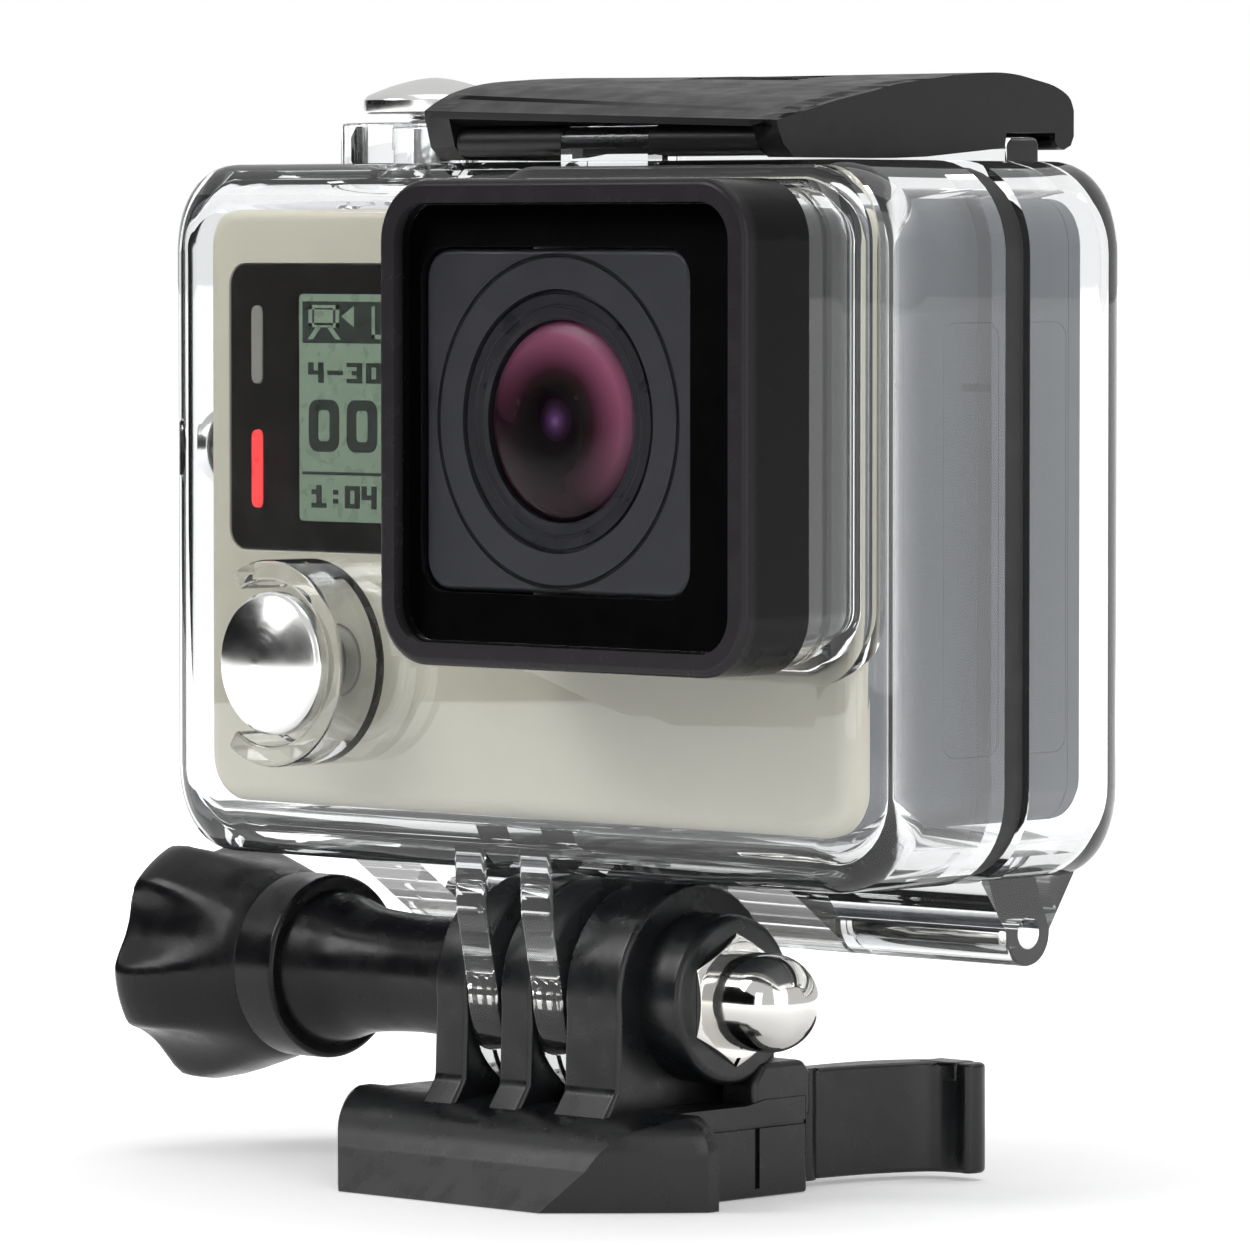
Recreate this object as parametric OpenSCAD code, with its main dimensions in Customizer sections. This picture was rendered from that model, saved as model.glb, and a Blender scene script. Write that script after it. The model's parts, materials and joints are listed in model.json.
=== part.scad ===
// Action camera in a clear waterproof housing, on a quick-release tilt buckle.
// Millimetres. The origin is on the buckle's flat bottom, straight below the tilt axis.
// +X is to the right seen from the front, +Y points back, +Z up. The lens looks along -Y.

/* [Camera body] */
// Width of the camera body
cam_w = 59; // [57:0.5:60]
// Height of the camera body
cam_h = 41; // [40:0.5:41.5]
// Depth of the camera body without its lens
cam_d = 21; // [20:0.5:22]
// Radius of the camera body's corners seen from the front
cam_corner_r = 3.2; // [2:0.1:4]

/* [Housing] */
// Gap between the camera and the housing's side walls
side_gap = 1.7; // [1:0.1:2]
// Thickness of the side walls
side_wall = 2.3; // [1.8:0.1:2.5]
// Thickness of the front wall
front_wall = 1.9; // [1.5:0.1:2.2]
// Radius of the housing's corners seen from the front
case_corner_r = 6; // [5:0.1:6.5]
// Radius of the housing's upright front edges
case_edge_r = 5; // [3:0.1:5.5]
// Radius of the housing's top and bottom edges, front and back
case_lip_r = 3; // [2:0.1:3.2]

/* [Lens port] */
// Width of the port frame
port_w = 32.5; // [30:0.5:33]
// Height of the port frame
port_h = 31.3; // [29:0.1:32]
// How far the port frame stands proud of the housing
port_proud = 10.5; // [9.5:0.1:11.5]

/* [Buttons] */
// Radius of the push-button caps
cap_r = 4.8; // [4:0.1:5.2]
// Travel of the push buttons
button_travel = 0.8; // [0.4:0.1:1]

/* [Tilt mount] */
// Height of the tilt axis above the buckle's bottom
tilt_z = 13.1; // [13:0.1:14]
// Radius of the round finger ends
finger_r = 7.5; // [7:0.1:7.6]
// Spacing of the fingers along the tilt axis
finger_pitch = 3; // [3:0.1:3.2]
// Radius of the tilt bolt
bolt_r = 2.5; // [2.4:0.1:2.5]
// Largest radius of the thumb knob
knob_r = 8.4; // [7.5:0.1:8.5]

/* [Hidden] */

$fn = 48;
eps = 0.01;              // how far a cutter passes a face
run = 0.05;              // radial running clearance of pins in their bores
gap = 0.05;              // side clearance between pieces that move past each other

// Camera box. Its front face looks along -Y.
cam_x = cam_w / 2;
cam_y0 = -6.7;
cam_y1 = cam_y0 + cam_d;
bottom_gap = 1.2;
top_gap = 0.4;
front_gap = 0.5;
rear_gap = 0.6;
bottom_wall = 2.2;
top_wall = 2;
rear_wall = 2.5;
case_z0 = tilt_z + 8.1;
cam_z0 = case_z0 + bottom_wall + bottom_gap;
cam_z1 = cam_z0 + cam_h;
case_z1 = cam_z1 + top_gap + top_wall;
case_x = cam_x + side_gap + side_wall;
case_y0 = cam_y0 - front_gap - front_wall;
case_y1 = cam_y1 + rear_gap + rear_wall;
room_x = case_x - side_wall;
room_z0 = case_z0 + bottom_wall;
room_z1 = case_z1 - top_wall;
room_r = case_corner_r - top_wall;

// Joint between the front shell and the back door
rim_y = 3.2;
door_y = 5.6;
gasket_inset = 0.4;
gasket_t = 0.8;
swing_x = 28.8;          // the door's floor is thinned this wide to swing clear of the camera
swing_y = 8;
swing_h = 1.1;

// Lens port and camera lens
port_x = 15.75;
port_z = cam_z0 + 26.5;
port_r = 4;
port_rim = 1.5;
port_depth = 6;
port_wall = 1.6;
port_step = 0.3;
port_y0 = case_y0 - port_proud;
port_y1 = port_y0 + port_depth;
window_t = 1.3;
window_y0 = port_y0 + 0.7;
seal_t = 1.2;
shroud_y1 = cam_y0 - 0.6;
mask_t = 0.8;
mask_gap = 0.5;
lens_x = 14;
lens_z = cam_z0 + 26.7;
lens_w = 23.6;
lens_h = 22;
lens_y0 = -17.3;
lens_disc_r = 10.6;
lens_ring_r = 8.45;
lens_glass_r = 6.45;
lens_glass_y1 = lens_y0 + 2.7;   // the front element's flat back

// Push buttons: caps, guards and stems
cap_t = 1.6;
dome_h = 0.9;
stem_r = 1;
stem_gap = button_travel + 0.1;   // from the cap's back to the seal's boss
guard_r = 6.95;
guard_t = 1.4;
boss_r = 2.9;
seal_r = 1.9;
power_x = -17.5;
power_z = cam_z0 + 10;
power_cap_y = case_y0 - 5.3;
power_stem_y = cam_y0 - 0.25;
shutter_x = -14.2;
shutter_y = -0.6;
shutter_cap_z = case_z1 + 5.8;
shutter_stem_z = cam_z1 + 0.25;
side_y = 0.2;
side_z = cam_z0 + 24;
side_cap_r = 2.8;
side_cap_t = 1;
side_cap_x = -case_x - 3;
side_stem_x = -cam_x - 0.25;
side_boss_x = side_cap_x + dome_h + side_cap_t + stem_gap;

// Door hinge under the housing
hinge_y = 10.5;
hinge_z = case_z0 - 3.4;
knuckle_r = 2.2;
hinge_pin_r = 1;
hinge_x0 = -26.4;
hinge_x1 = 29.2;
door_knuckles = [[-19.8, -8], [14.6, 29.2]];
shell_knuckles = [[-26.4, -19.9], [-7.9, 14.5]];

// Latch on top
latch_x0 = -7;
latch_x1 = 24.7;
latch_x = (latch_x0 + latch_x1) / 2;
latch_a = [-7.2, case_z1 + 1.3];       // arm's pivot on the housing, as Y and Z
latch_b = [4, case_z1 + 1.9];          // cover's pivot on the arm, as Y and Z
latch_a_r = 0.95;
latch_a_pin_r = 0.5;
latch_b_r = 1.5;
latch_b_pin_r = 0.75;
latch_lug_w = 3;
arm_half = 10;
fork_half = 13.5;
lug_half = 3.9;
end_t = 2.25;
ridge_y0 = 13.6;
ridge_y1 = 16.8;
ridge_h = 1.6;
claw_y0 = 18.2;
claw_y1 = 20.1;
lock_w = 10;
lock_y0 = 4.6;
lock_y1 = 10;
lock_z0 = case_z1 + 4.7;
lock_travel = 2;
lock_spring_r = 0.25;

// Top outline of the cover, from its front lip to the tip of its claw
cover_top = [[-8.75, 2.5], [-8.8, 2.9], [-6, 3.8], [-3.2, 4.4], [0.6, 4.9], [2.5, 5.2], [6.3, 5.5],
    [9.3, 5.7], [12.2, 5.8], [14.3, 5.7], [16.1, 5.4], [18.1, 5], [19.6, 4.3], [claw_y1, 3.6],
    [claw_y1 - 0.3, 0.8], [claw_y0, 0.8]];

// Underside of the cover's middle and of its closed ends, from the claw to the lip
cover_under = [[claw_y0, 2.9], [17.4, 3.7], [12, 4.15], [6, 4.15], [2.5, 4.1], [-3.2, 3.5], [-7.6, 2.7]];
cover_ends = [[claw_y0, 1.9], [13.3, 1.9], [13.2, 0.9], [12.2, 0.8], [5.4, 0.25], [2.5, 0.15],
    [-7.2, 0.15], [-8.2, 1]];

// Tilt mount
finger_t = finger_pitch - 0.1;
bolt_bore_r = bolt_r + run;
third_x0 = 1.5 * finger_pitch + gap;
third_x1 = 9.5;
boss_x1 = 13;
nut_x0 = 9.9;
nut_x1 = 13.4;
nut_af = 7.6;
nut_dome_r = 3.25;
nut_tip_x = 19.3;
knob_x0 = -38.5;
knob_x1 = -28.2;
knob_phase = 17;
knob_ring_r = 6.3;
knob_ring_x1 = -24.4;
knob_lobes = 5;
stem_x1 = -1.5 * finger_pitch - finger_pitch - gap;

// Buckle
buckle_front_y = -14.7;
buckle_half = 13.5;
wing_half = 17;
wing_y = -6.9;
deck_z = 6;
wall_z = 8.8;
arm_pivot = [10.4, 8.7];
arm_pivot_r = 1.3;
arm_z0 = 0.4;
arm_z1 = 7.9;

// Camera inside
skin = 1.2;
cover_t = 1.6;
screw_r = 0.7;
screw_inset = 2.7;
panel_x0 = -27;
panel_x1 = -2;
panel_z0 = cam_z0 + 17.3;
panel_z1 = cam_z0 + 36.7;
lcd_x0 = -20.4;
lcd_x1 = -3.2;
lcd_z0 = cam_z0 + 19.3;
lcd_z1 = cam_z0 + 34.7;
led_x = -24.4;
led_w = 1.2;
led_h = 5.4;

// ---- helpers ----

// Rectangle with round corners
module rounded(x0, x1, y0, y1, r) {
    union() {
        translate([x0 + r, y0]) square([x1 - x0 - 2 * r, y1 - y0]);
        translate([x0, y0 + r]) square([x1 - x0, y1 - y0 - 2 * r]);
        for (x = [x0 + r, x1 - r], y = [y0 + r, y1 - r]) translate([x, y]) circle(r = r);
    }
}

// A profile drawn in X and Z, thick along Y
module along_y(y0, y1) {
    translate([0, y1, 0]) rotate([90, 0, 0]) linear_extrude(y1 - y0) children();
}

// A profile drawn in Y and Z, thick along X
module along_x(x0, x1) {
    translate([x0, 0, 0]) rotate([90, 0, 90]) linear_extrude(x1 - x0) children();
}

module along_z(z0, z1) {
    translate([0, 0, z0]) linear_extrude(z1 - z0) children();
}

module slab(x0, x1, z0, z1, r, y0, y1) {
    along_y(y0, y1) rounded(x0, x1, z0, z1, r);
}

module block(x0, x1, y0, y1, z0, z1) {
    translate([x0, y0, z0]) cube([x1 - x0, y1 - y0, z1 - z0]);
}

module rod_x(r, x0, x1, y, z) {
    translate([x0, y, z]) rotate([0, 90, 0]) cylinder(r = r, h = x1 - x0);
}

module rod_y(r, y0, y1, x, z) {
    translate([x, y1, z]) rotate([90, 0, 0]) cylinder(r = r, h = y1 - y0);
}

module rod_z(r, z0, z1, x, y) {
    translate([x, y, z0]) cylinder(r = r, h = z1 - z0);
}

module ring_y(ro, ri, y0, y1, x, z) {
    difference() {
        rod_y(ro, y0, y1, x, z);
        rod_y(ri, y0 - eps, y1 + eps, x, z);
    }
}

// ---- buckle ----

// Round-ended tilt finger standing on the buckle
module finger(x0, x1, r) {
    along_x(x0, x1) union() {
        translate([0, tilt_z]) circle(r = r);
        translate([-r, deck_z - 2]) square([2 * r, tilt_z - deck_z + 2]);
    }
}

module deck() {
    intersection() {
        along_z(0, wall_z) polygon([
            [-9.25, buckle_front_y], [9.25, buckle_front_y], [wing_half, wing_y],
            [wing_half - 0.4, wing_y + 0.6], [buckle_half, -5.6], [buckle_half, 6.3],
            [11.2, 8], [-11.2, 8], [-buckle_half, 6.3], [-buckle_half, -5.6],
            [-wing_half + 0.4, wing_y + 0.6], [-wing_half, wing_y]]);
        along_x(-wing_half - 1, wing_half + 1) polygon([
            [buckle_front_y, 0], [-12.6, 2.7], [-11.4, 4.4], [-9.9, 5.3], [-7.4, deck_z],
            [1.5, deck_z], [2.5, deck_z + 0.3], [8.1, deck_z + 0.3], [8.1, 0]]);
    }
}

module buckle_base() {
    color("#17181a")
    difference() {
        union() {
            deck();
            for (side = [-1, 1]) block(min(side * 10.3, side * 13.3), max(side * 10.3, side * 13.3),
                                       1.5, 7, deck_z - 1, wall_z);
            finger(-2.5 * finger_pitch, -1.5 * finger_pitch - gap, finger_r);
            finger(-0.5 * finger_pitch + gap, 0.5 * finger_pitch - gap, finger_r);
            finger(third_x0, third_x1, finger_r);
            finger(third_x1 - 1, boss_x1, 5.6);
        }
        // round cups under the two housing fingers
        for (x = [-1, 1]) rod_x(finger_r + 0.4, x * finger_pitch - finger_pitch / 2 - gap,
                                x * finger_pitch + finger_pitch / 2 + gap, 0, tilt_z);
        rod_x(bolt_bore_r, -10, nut_x0 + 1, 0, tilt_z);
        // hexagonal pocket for the nut
        translate([nut_x0, 0, tilt_z]) rotate([0, 90, 0]) rotate(90)
            cylinder(d = (nut_af + 0.1) / cos(30), h = 5, $fn = 6);
        // cups for the spring arms
        for (side = [-1, 1]) rod_z(arm_pivot_r + 0.1, -1, wall_z + 1, side * arm_pivot[0], arm_pivot[1]);
    }
}

module spring_arm() {
    along_z(arm_z0, arm_z1) union() {
        translate(arm_pivot) circle(r = arm_pivot_r);
        polygon([[9.3, 9.4], [11.5, 9.4], [12.4, 14.4], [14.1, 18], [16, 18.6],
                 [16, 20.4], [13.4, 20.4], [11.4, 18.6], [9.8, 14.8]]);
        translate([16.1, 19.4]) circle(r = 1.2);
    }
}

module buckle_arm_left() { color("#17181a") mirror([1, 0, 0]) spring_arm(); }
module buckle_arm_right() { color("#17181a") spring_arm(); }

module acorn_nut() {
    color("silver")
    difference() {
        union() {
            translate([nut_x0 + gap, 0, tilt_z]) rotate([0, 90, 0]) rotate(90)
                cylinder(d = nut_af / cos(30), h = nut_x1 - nut_x0, $fn = 6);
            rod_x(nut_dome_r, nut_x1 - eps, nut_tip_x - nut_dome_r, 0, tilt_z);
            translate([nut_tip_x - nut_dome_r, 0, tilt_z]) sphere(r = nut_dome_r);
        }
        rod_x(bolt_r + run, nut_x0 - 1, nut_tip_x - nut_dome_r, 0, tilt_z);
    }
}

module thumb_knob() {
    color("#1b1c1e")
    difference() {
        union() {
            intersection() {
                along_x(knob_x0, knob_x1) translate([0, tilt_z]) difference() {
                    circle(r = knob_r);
                    for (i = [0 : knob_lobes - 1]) rotate(knob_phase + i * 360 / knob_lobes)
                        translate([knob_r + 3.6, 0]) circle(r = 5);
                }
                translate([0, 0, tilt_z]) rotate([0, 90, 0]) rotate_extrude() polygon([
                    [0, knob_x0], [knob_r - 0.6, knob_x0], [knob_r + 0.1, knob_x0 + 0.7],
                    [knob_r + 0.1, knob_x0 + 2.5], [knob_ring_r, knob_x1], [0, knob_x1]]);
            }
            translate([0, 0, tilt_z]) rotate([0, 90, 0]) rotate_extrude() polygon([
                [0, knob_x1 - 1], [knob_ring_r, knob_x1 - 1], [knob_ring_r, knob_ring_x1 - 0.4],
                [knob_ring_r - 0.4, knob_ring_x1], [5.4, knob_ring_x1], [4.3, -20.6], [4, -17],
                [4, -14.3], [4.3, stem_x1], [0, stem_x1]]);
        }
        rod_x(bolt_r, -34, 0, 0, tilt_z);
    }
}

module thumb_bolt() {
    color("silver") rod_x(bolt_r, -34, nut_tip_x - nut_dome_r - 0.5, 0, tilt_z);
}

// ---- housing ----

// Outer form of the closed housing
module case_form(y0, y1) {
    intersection() {
        slab(-case_x, case_x, case_z0, case_z1, case_corner_r, y0, y1);
        along_z(case_z0 - 1, case_z1 + 1)
            rounded(-case_x, case_x, case_y0, case_y1, case_edge_r);
        along_x(-case_x - 1, case_x + 1)
            rounded(case_y0, case_y1, case_z0, case_z1, case_lip_r);
    }
}

// Space inside the housing
module case_room(y0, y1) {
    slab(-room_x, room_x, room_z0, room_z1, room_r, y0, y1);
}

// Form of the lens port, drawn in from its outline
module port_slab(inset, y0, y1) {
    slab(port_x - port_w / 2 + inset, port_x + port_w / 2 - inset,
         port_z - port_h / 2 + inset, port_z + port_h / 2 - inset, port_r - inset, y0, y1);
}

// Hinge knuckle with the strap that carries it. The strap is drawn in Y and Z.
module knuckle(x0, x1, strap) {
    along_x(x0, x1) union() {
        translate([hinge_y, hinge_z]) circle(r = knuckle_r);
        polygon(strap);
    }
}

// Mounting finger that hangs from the housing
module housing_finger(x) {
    along_x(x - finger_t / 2, x + finger_t / 2) union() {
        translate([0, tilt_z]) circle(r = finger_r);
        polygon([[-7.45, tilt_z], [7.45, tilt_z], [7.9, case_z0 - 0.1], [rim_y, case_z0 - 0.1],
                 [rim_y, case_z0 + 1], [-8.9, case_z0 + case_lip_r], [-8.6, tilt_z + 5.6]]);
    }
}

// C-shaped wall round a button, seen along the button's axis
module guard_profile(r, open_from, open_to) {
    difference() {
        circle(r = r);
        circle(r = r - guard_t);
        polygon(concat([[0, 0]], [for (a = [open_from : (open_to - open_from) / 4 : open_to])
            [2 * r * cos(a), 2 * r * sin(a)]]));
    }
}

module power_guard() {
    along_y(case_y0 - 4, case_y0 + eps) translate([power_x, power_z])
        guard_profile(guard_r, 120, 235);
}

module shutter_guard() {
    intersection() {
        along_z(case_z1 - 1, case_z1 + 2.7) translate([shutter_x, shutter_y])
            guard_profile(6.35, 150, 210);
        block(-case_x, case_x, case_y0, rim_y, case_z1 - 2, case_z1 + 3);
    }
}

module housing_front_shell() {
    color("white", 0.3)
    difference() {
        union() {
            case_form(case_y0, rim_y);
            port_slab(port_step, port_y1, case_y0 + front_wall);
            power_guard();
            rod_y(boss_r, power_cap_y + cap_t + dome_h + stem_gap, case_y0 + 1, power_x, power_z);
            shutter_guard();
            rod_z(boss_r, case_z1 - 1, shutter_cap_z - cap_t - dome_h - stem_gap, shutter_x, shutter_y);
            rod_x(boss_r, side_boss_x, -case_x + 1, side_y, side_z);
            for (x = [-finger_pitch, finger_pitch]) housing_finger(x);
            for (k = shell_knuckles) knuckle(k[0] + gap, k[1] - gap, [
                [1.5, case_z0 + 0.5], [rim_y, case_z0 + 0.5], [rim_y, case_z0 - 0.5],
                [hinge_y, hinge_z + 1.9], [hinge_y - 1, hinge_z - 1.8]]);
            latch_lug();
        }
        case_room(case_y0 + front_wall, rim_y + 1);
        // inside of the lens port
        port_slab(port_wall, port_y1 - 1, case_y0 + front_wall + eps);
        for (x = [-finger_pitch, finger_pitch])
            rod_x(bolt_bore_r, x - finger_pitch, x + finger_pitch, 0, tilt_z);
        rod_x(hinge_pin_r, hinge_x0 - 1, hinge_x1 + 1, hinge_y, hinge_z);
        for (k = door_knuckles) rod_x(knuckle_r + 0.4, k[0] - gap, k[1] + gap, hinge_y, hinge_z);
        // stem bores, each with a pocket for its seal
        rod_y(stem_r + run, case_y0 - 6, 0, power_x, power_z);
        rod_y(seal_r, case_y0 + 0.2, case_y0 + 1.2, power_x, power_z);
        rod_z(stem_r + run, case_z1 - 5, case_z1 + 6, shutter_x, shutter_y);
        rod_z(seal_r, case_z1 - 1.2, case_z1 - 0.2, shutter_x, shutter_y);
        rod_x(stem_r + run, side_cap_x, -room_x + 1, side_y, side_z);
        rod_x(seal_r, -case_x + 0.2, -case_x + 1.2, side_y, side_z);
        rod_x(latch_a_pin_r, latch_x0 - 1, latch_x1 + 1, latch_a[0], latch_a[1]);
    }
}

// Lug in the middle of the housing's top that holds the latch arm
module latch_lug() {
    along_x(latch_x - lug_half, latch_x + lug_half) union() {
        translate(latch_a) circle(r = latch_a_r);
        translate([latch_a[0] - latch_a_r, case_z1 - 1])
            square([2 * latch_a_r, latch_a[1] - case_z1 + 1]);
    }
}

module lens_port_frame() {
    color("#141416")
    difference() {
        port_slab(0, port_y0, port_y1);
        port_slab(port_rim, port_y0 - 1, port_y1 + 1);
    }
}

module lens_window() {
    color("white", 0.25)
    port_slab(port_rim, window_y0, window_y0 + window_t);
}

// Seal behind the window, with a mask round the camera's lens and a shroud down the port
module lens_window_seal() {
    color("#222222")
    difference() {
        union() {
            port_slab(port_rim, window_y0 + window_t, port_y1);
            port_slab(port_wall + gap, port_y1 - 1, shroud_y1);
        }
        port_slab(port_rim + seal_t, window_y0 + window_t + mask_t, shroud_y1 + 1);
        slab(lens_x - lens_w / 2 - mask_gap, lens_x + lens_w / 2 + mask_gap,
             lens_z - lens_h / 2 - mask_gap, lens_z + lens_h / 2 + mask_gap,
             2.4, window_y0, port_y1);
    }
}

module hinge_pin() {
    color("silver") rod_x(hinge_pin_r, hinge_x0 + 0.3, hinge_x1 - 1.2, hinge_y, hinge_z);
}

module latch_hinge_pin() {
    color("silver") rod_x(latch_a_pin_r, latch_x - fork_half + 0.5, latch_x + fork_half - 0.5,
                          latch_a[0], latch_a[1]);
}

module button_seals() {
    color("#202020") {
        ring_y(seal_r, stem_r + run, case_y0 + 0.2, case_y0 + 1.2, power_x, power_z);
        difference() {
            rod_z(seal_r, case_z1 - 1.2, case_z1 - 0.2, shutter_x, shutter_y);
            rod_z(stem_r + run, case_z1 - 2, case_z1, shutter_x, shutter_y);
        }
        difference() {
            rod_x(seal_r, -case_x + 0.2, -case_x + 1.2, side_y, side_z);
            rod_x(stem_r + run, -case_x, -case_x + 2, side_y, side_z);
        }
    }
}

// Mushroom cap with its stem, pointing up from its outer face at 0 down to -length
module push_cap(r, t, length) {
    rotate_extrude() polygon([
        [0, 0], [r / 3, -0.15], [0.8 * r, -0.75 * dome_h], [r, -dome_h - 0.3],
        [r, -dome_h - t], [stem_r, -dome_h - t], [stem_r, -length], [0, -length]]);
}

module coil_stand_in(length) {
    difference() {
        cylinder(r = seal_r, h = length);
        translate([0, 0, -1]) cylinder(r = stem_r + 0.35, h = length + 2);
    }
}

module power_button_cap() {
    color("silver") translate([power_x, power_cap_y, power_z]) rotate([90, 0, 0])
        push_cap(cap_r, cap_t, power_stem_y - power_cap_y);
}

module power_button_spring() {
    color("silver") translate([power_x, power_cap_y + cap_t + dome_h + stem_gap - eps, power_z])
        rotate([90, 0, 0]) coil_stand_in(stem_gap - 2 * eps);
}

module shutter_button_cap() {
    color("silver") translate([shutter_x, shutter_y, shutter_cap_z])
        push_cap(cap_r, cap_t, shutter_cap_z - shutter_stem_z);
}

module shutter_button_spring() {
    color("silver")
        translate([shutter_x, shutter_y, shutter_cap_z - cap_t - dome_h - stem_gap + eps])
            coil_stand_in(stem_gap - 2 * eps);
}

module side_button_cap() {
    color("silver") translate([side_cap_x, side_y, side_z]) rotate([0, -90, 0])
        push_cap(side_cap_r, side_cap_t, side_stem_x - side_cap_x);
}

module side_button_spring() {
    color("silver") translate([side_boss_x - eps, side_y, side_z])
        rotate([0, -90, 0]) coil_stand_in(stem_gap - 2 * eps);
}

// ---- back door and latch ----

module back_door() {
    color("white", 0.3)
    difference() {
        union() {
            case_form(door_y, case_y1);
            for (k = door_knuckles) knuckle(k[0], k[1], [
                [door_y, case_z0 + 0.5], [hinge_y - 2, hinge_z], [hinge_y + 2, hinge_z],
                [case_y1 - 2, case_z0 + 0.5]]);
            block(latch_x0 + 0.2, latch_x1 - 0.2, ridge_y0, ridge_y1, room_z1, case_z1 + ridge_h);
        }
        case_room(door_y - 1, case_y1 - rear_wall);
        block(-swing_x, swing_x, door_y - 1, swing_y, case_z0 + swing_h, room_z0 + 1);
        rod_x(hinge_pin_r + run, hinge_x0 - 1, hinge_x1 + 1, hinge_y, hinge_z);
        for (k = shell_knuckles) rod_x(knuckle_r + 0.4, k[0] - gap, k[1] + gap, hinge_y, hinge_z);
    }
}

module door_gasket() {
    color("#111111")
    difference() {
        slab(-case_x + gasket_inset, case_x - gasket_inset, case_z0 + gasket_inset,
             case_z1 - gasket_inset, case_corner_r - gasket_inset, rim_y + 0.2, door_y);
        slab(-case_x + gasket_inset + gasket_t, case_x - gasket_inset - gasket_t,
             case_z0 + gasket_inset + gasket_t, case_z1 - gasket_inset - gasket_t,
             case_corner_r - gasket_inset - gasket_t, rim_y - 1, door_y + 1);
    }
}

// Arm between the two pivots: wide in front, with a slot for the housing's lug
module latch_arm() {
    color("#1a1a1c")
    difference() {
        union() {
            along_x(latch_x - fork_half, latch_x + fork_half) union() {
                translate(latch_a) circle(r = latch_a_r);
                polygon([[latch_a[0], latch_a[1] - latch_a_r], [1, case_z1 + 0.8], [1, case_z1 + 2.8],
                         [latch_a[0], latch_a[1] + latch_a_r]]);
            }
            along_x(latch_x - arm_half, latch_x + arm_half) union() {
                translate(latch_b) circle(r = latch_b_r);
                translate([0, case_z1 + 0.8]) square([latch_b[0], 2]);
            }
        }
        block(latch_x - lug_half - gap, latch_x + lug_half + gap, -10, latch_a[0] + latch_a_r + 0.6,
              case_z1 - 1, case_z1 + 5);
        rod_x(latch_a_pin_r + run, latch_x0, latch_x1, latch_a[0], latch_a[1]);
        rod_x(latch_b_pin_r, latch_x0, latch_x1, latch_b[0], latch_b[1]);
    }
}

module latch_cover_pin() {
    color("silver") rod_x(latch_b_pin_r, latch_x - arm_half - latch_lug_w,
                          latch_x + arm_half + latch_lug_w, latch_b[0], latch_b[1]);
}

module latch_cover() {
    color("#141416")
    difference() {
        union() {
            translate([0, 0, case_z1]) {
                along_x(latch_x0 + 1, latch_x1 - 1) polygon(concat(cover_top, cover_under));
                for (x0 = [latch_x0, latch_x1 - end_t])
                    along_x(x0, x0 + end_t) polygon(concat(cover_top, cover_ends));
            }
            for (side = [-1, 1]) {
                x0 = side > 0 ? latch_x + arm_half + gap : latch_x - arm_half - latch_lug_w - gap;
                along_x(x0, x0 + latch_lug_w) union() {
                    translate(latch_b) circle(r = latch_b_r);
                    translate([latch_b[0] - latch_b_r, latch_b[1]])
                        square([2 * latch_b_r, lock_z0 - 0.3 - latch_b[1]]);
                }
            }
        }
        rod_x(latch_b_pin_r + run, latch_x0 + end_t, latch_x1 - end_t, latch_b[0], latch_b[1]);
        // pocket for the sliding lock
        block(latch_x - lock_w / 2 - gap, latch_x + lock_w / 2 + gap, lock_y0 - gap,
              lock_y1 + lock_travel + gap, lock_z0, case_z1 + 7);
    }
}

module latch_lock() {
    color("#242427")
    union() {
        block(latch_x - lock_w / 2, latch_x + lock_w / 2, lock_y0, lock_y1,
              lock_z0 + gap, case_z1 + 5.3);
        for (y = [lock_y0 + 0.6 : 1.5 : lock_y1 - 0.8])
            block(latch_x - lock_w / 2 + 1, latch_x + lock_w / 2 - 1, y, y + 0.6,
                  case_z1 + 5, case_z1 + 5.6);
    }
}

module latch_lock_spring() {
    color("silver") rod_y(lock_spring_r, lock_y1 + eps, lock_y1 + lock_travel, latch_x, case_z1 + 5);
}

// ---- camera ----

module cam_slab(inset, y0, y1) {
    slab(-cam_x + inset, cam_x - inset, cam_z0 + inset, cam_z1 - inset, cam_corner_r - inset, y0, y1);
}

module camera_front_cover() {
    color("#bcb8a8")
    difference() {
        cam_slab(0, cam_y0, cam_y0 + cover_t);
        slab(lens_x - 11, lens_x + 11, lens_z - 10.4, lens_z + 10.4, 2, cam_y0 - 1, cam_y0 + 3);
        slab(panel_x0, panel_x1, panel_z0, panel_z1, 1.5, cam_y0 - 1, cam_y0 + 0.6);
        rod_y(2.6, cam_y0 - 1, cam_y0 + 3, power_x, power_z);
    }
}

module camera_body_shell() {
    color("#626468")
    difference() {
        cam_slab(0, cam_y0 + cover_t, cam_y1 - cover_t);
        cam_slab(skin, cam_y0, cam_y1);
        // openings for the side door, the battery door and the two upper buttons
        block(cam_x - skin - 1, cam_x + 1, 0.5, 12.5, cam_z0 + 5, cam_z0 + 33);
        block(-24, 12, -2.6, 11.4, cam_z0 - 1, cam_z0 + skin + 1);
        rod_z(2.6, cam_z1 - 3, cam_z1 + 1, shutter_x, shutter_y);
        rod_x(2.6, -cam_x - 1, -cam_x + 3, side_y, side_z);
    }
}

module camera_back_cover() {
    color("#5c5e62")
    difference() {
        cam_slab(0, cam_y1 - cover_t, cam_y1);
        slab(-19, 19, cam_z0 + 6, cam_z0 + 34, 0.6, cam_y1 - 1.4, cam_y1 + 1);
    }
}

module rear_screen() {
    color("#0b0c0e") slab(-19 + gap, 19 - gap, cam_z0 + 6 + gap, cam_z0 + 34 - gap, 0.5,
                          cam_y1 - 1.4 + gap, cam_y1);
}

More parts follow.
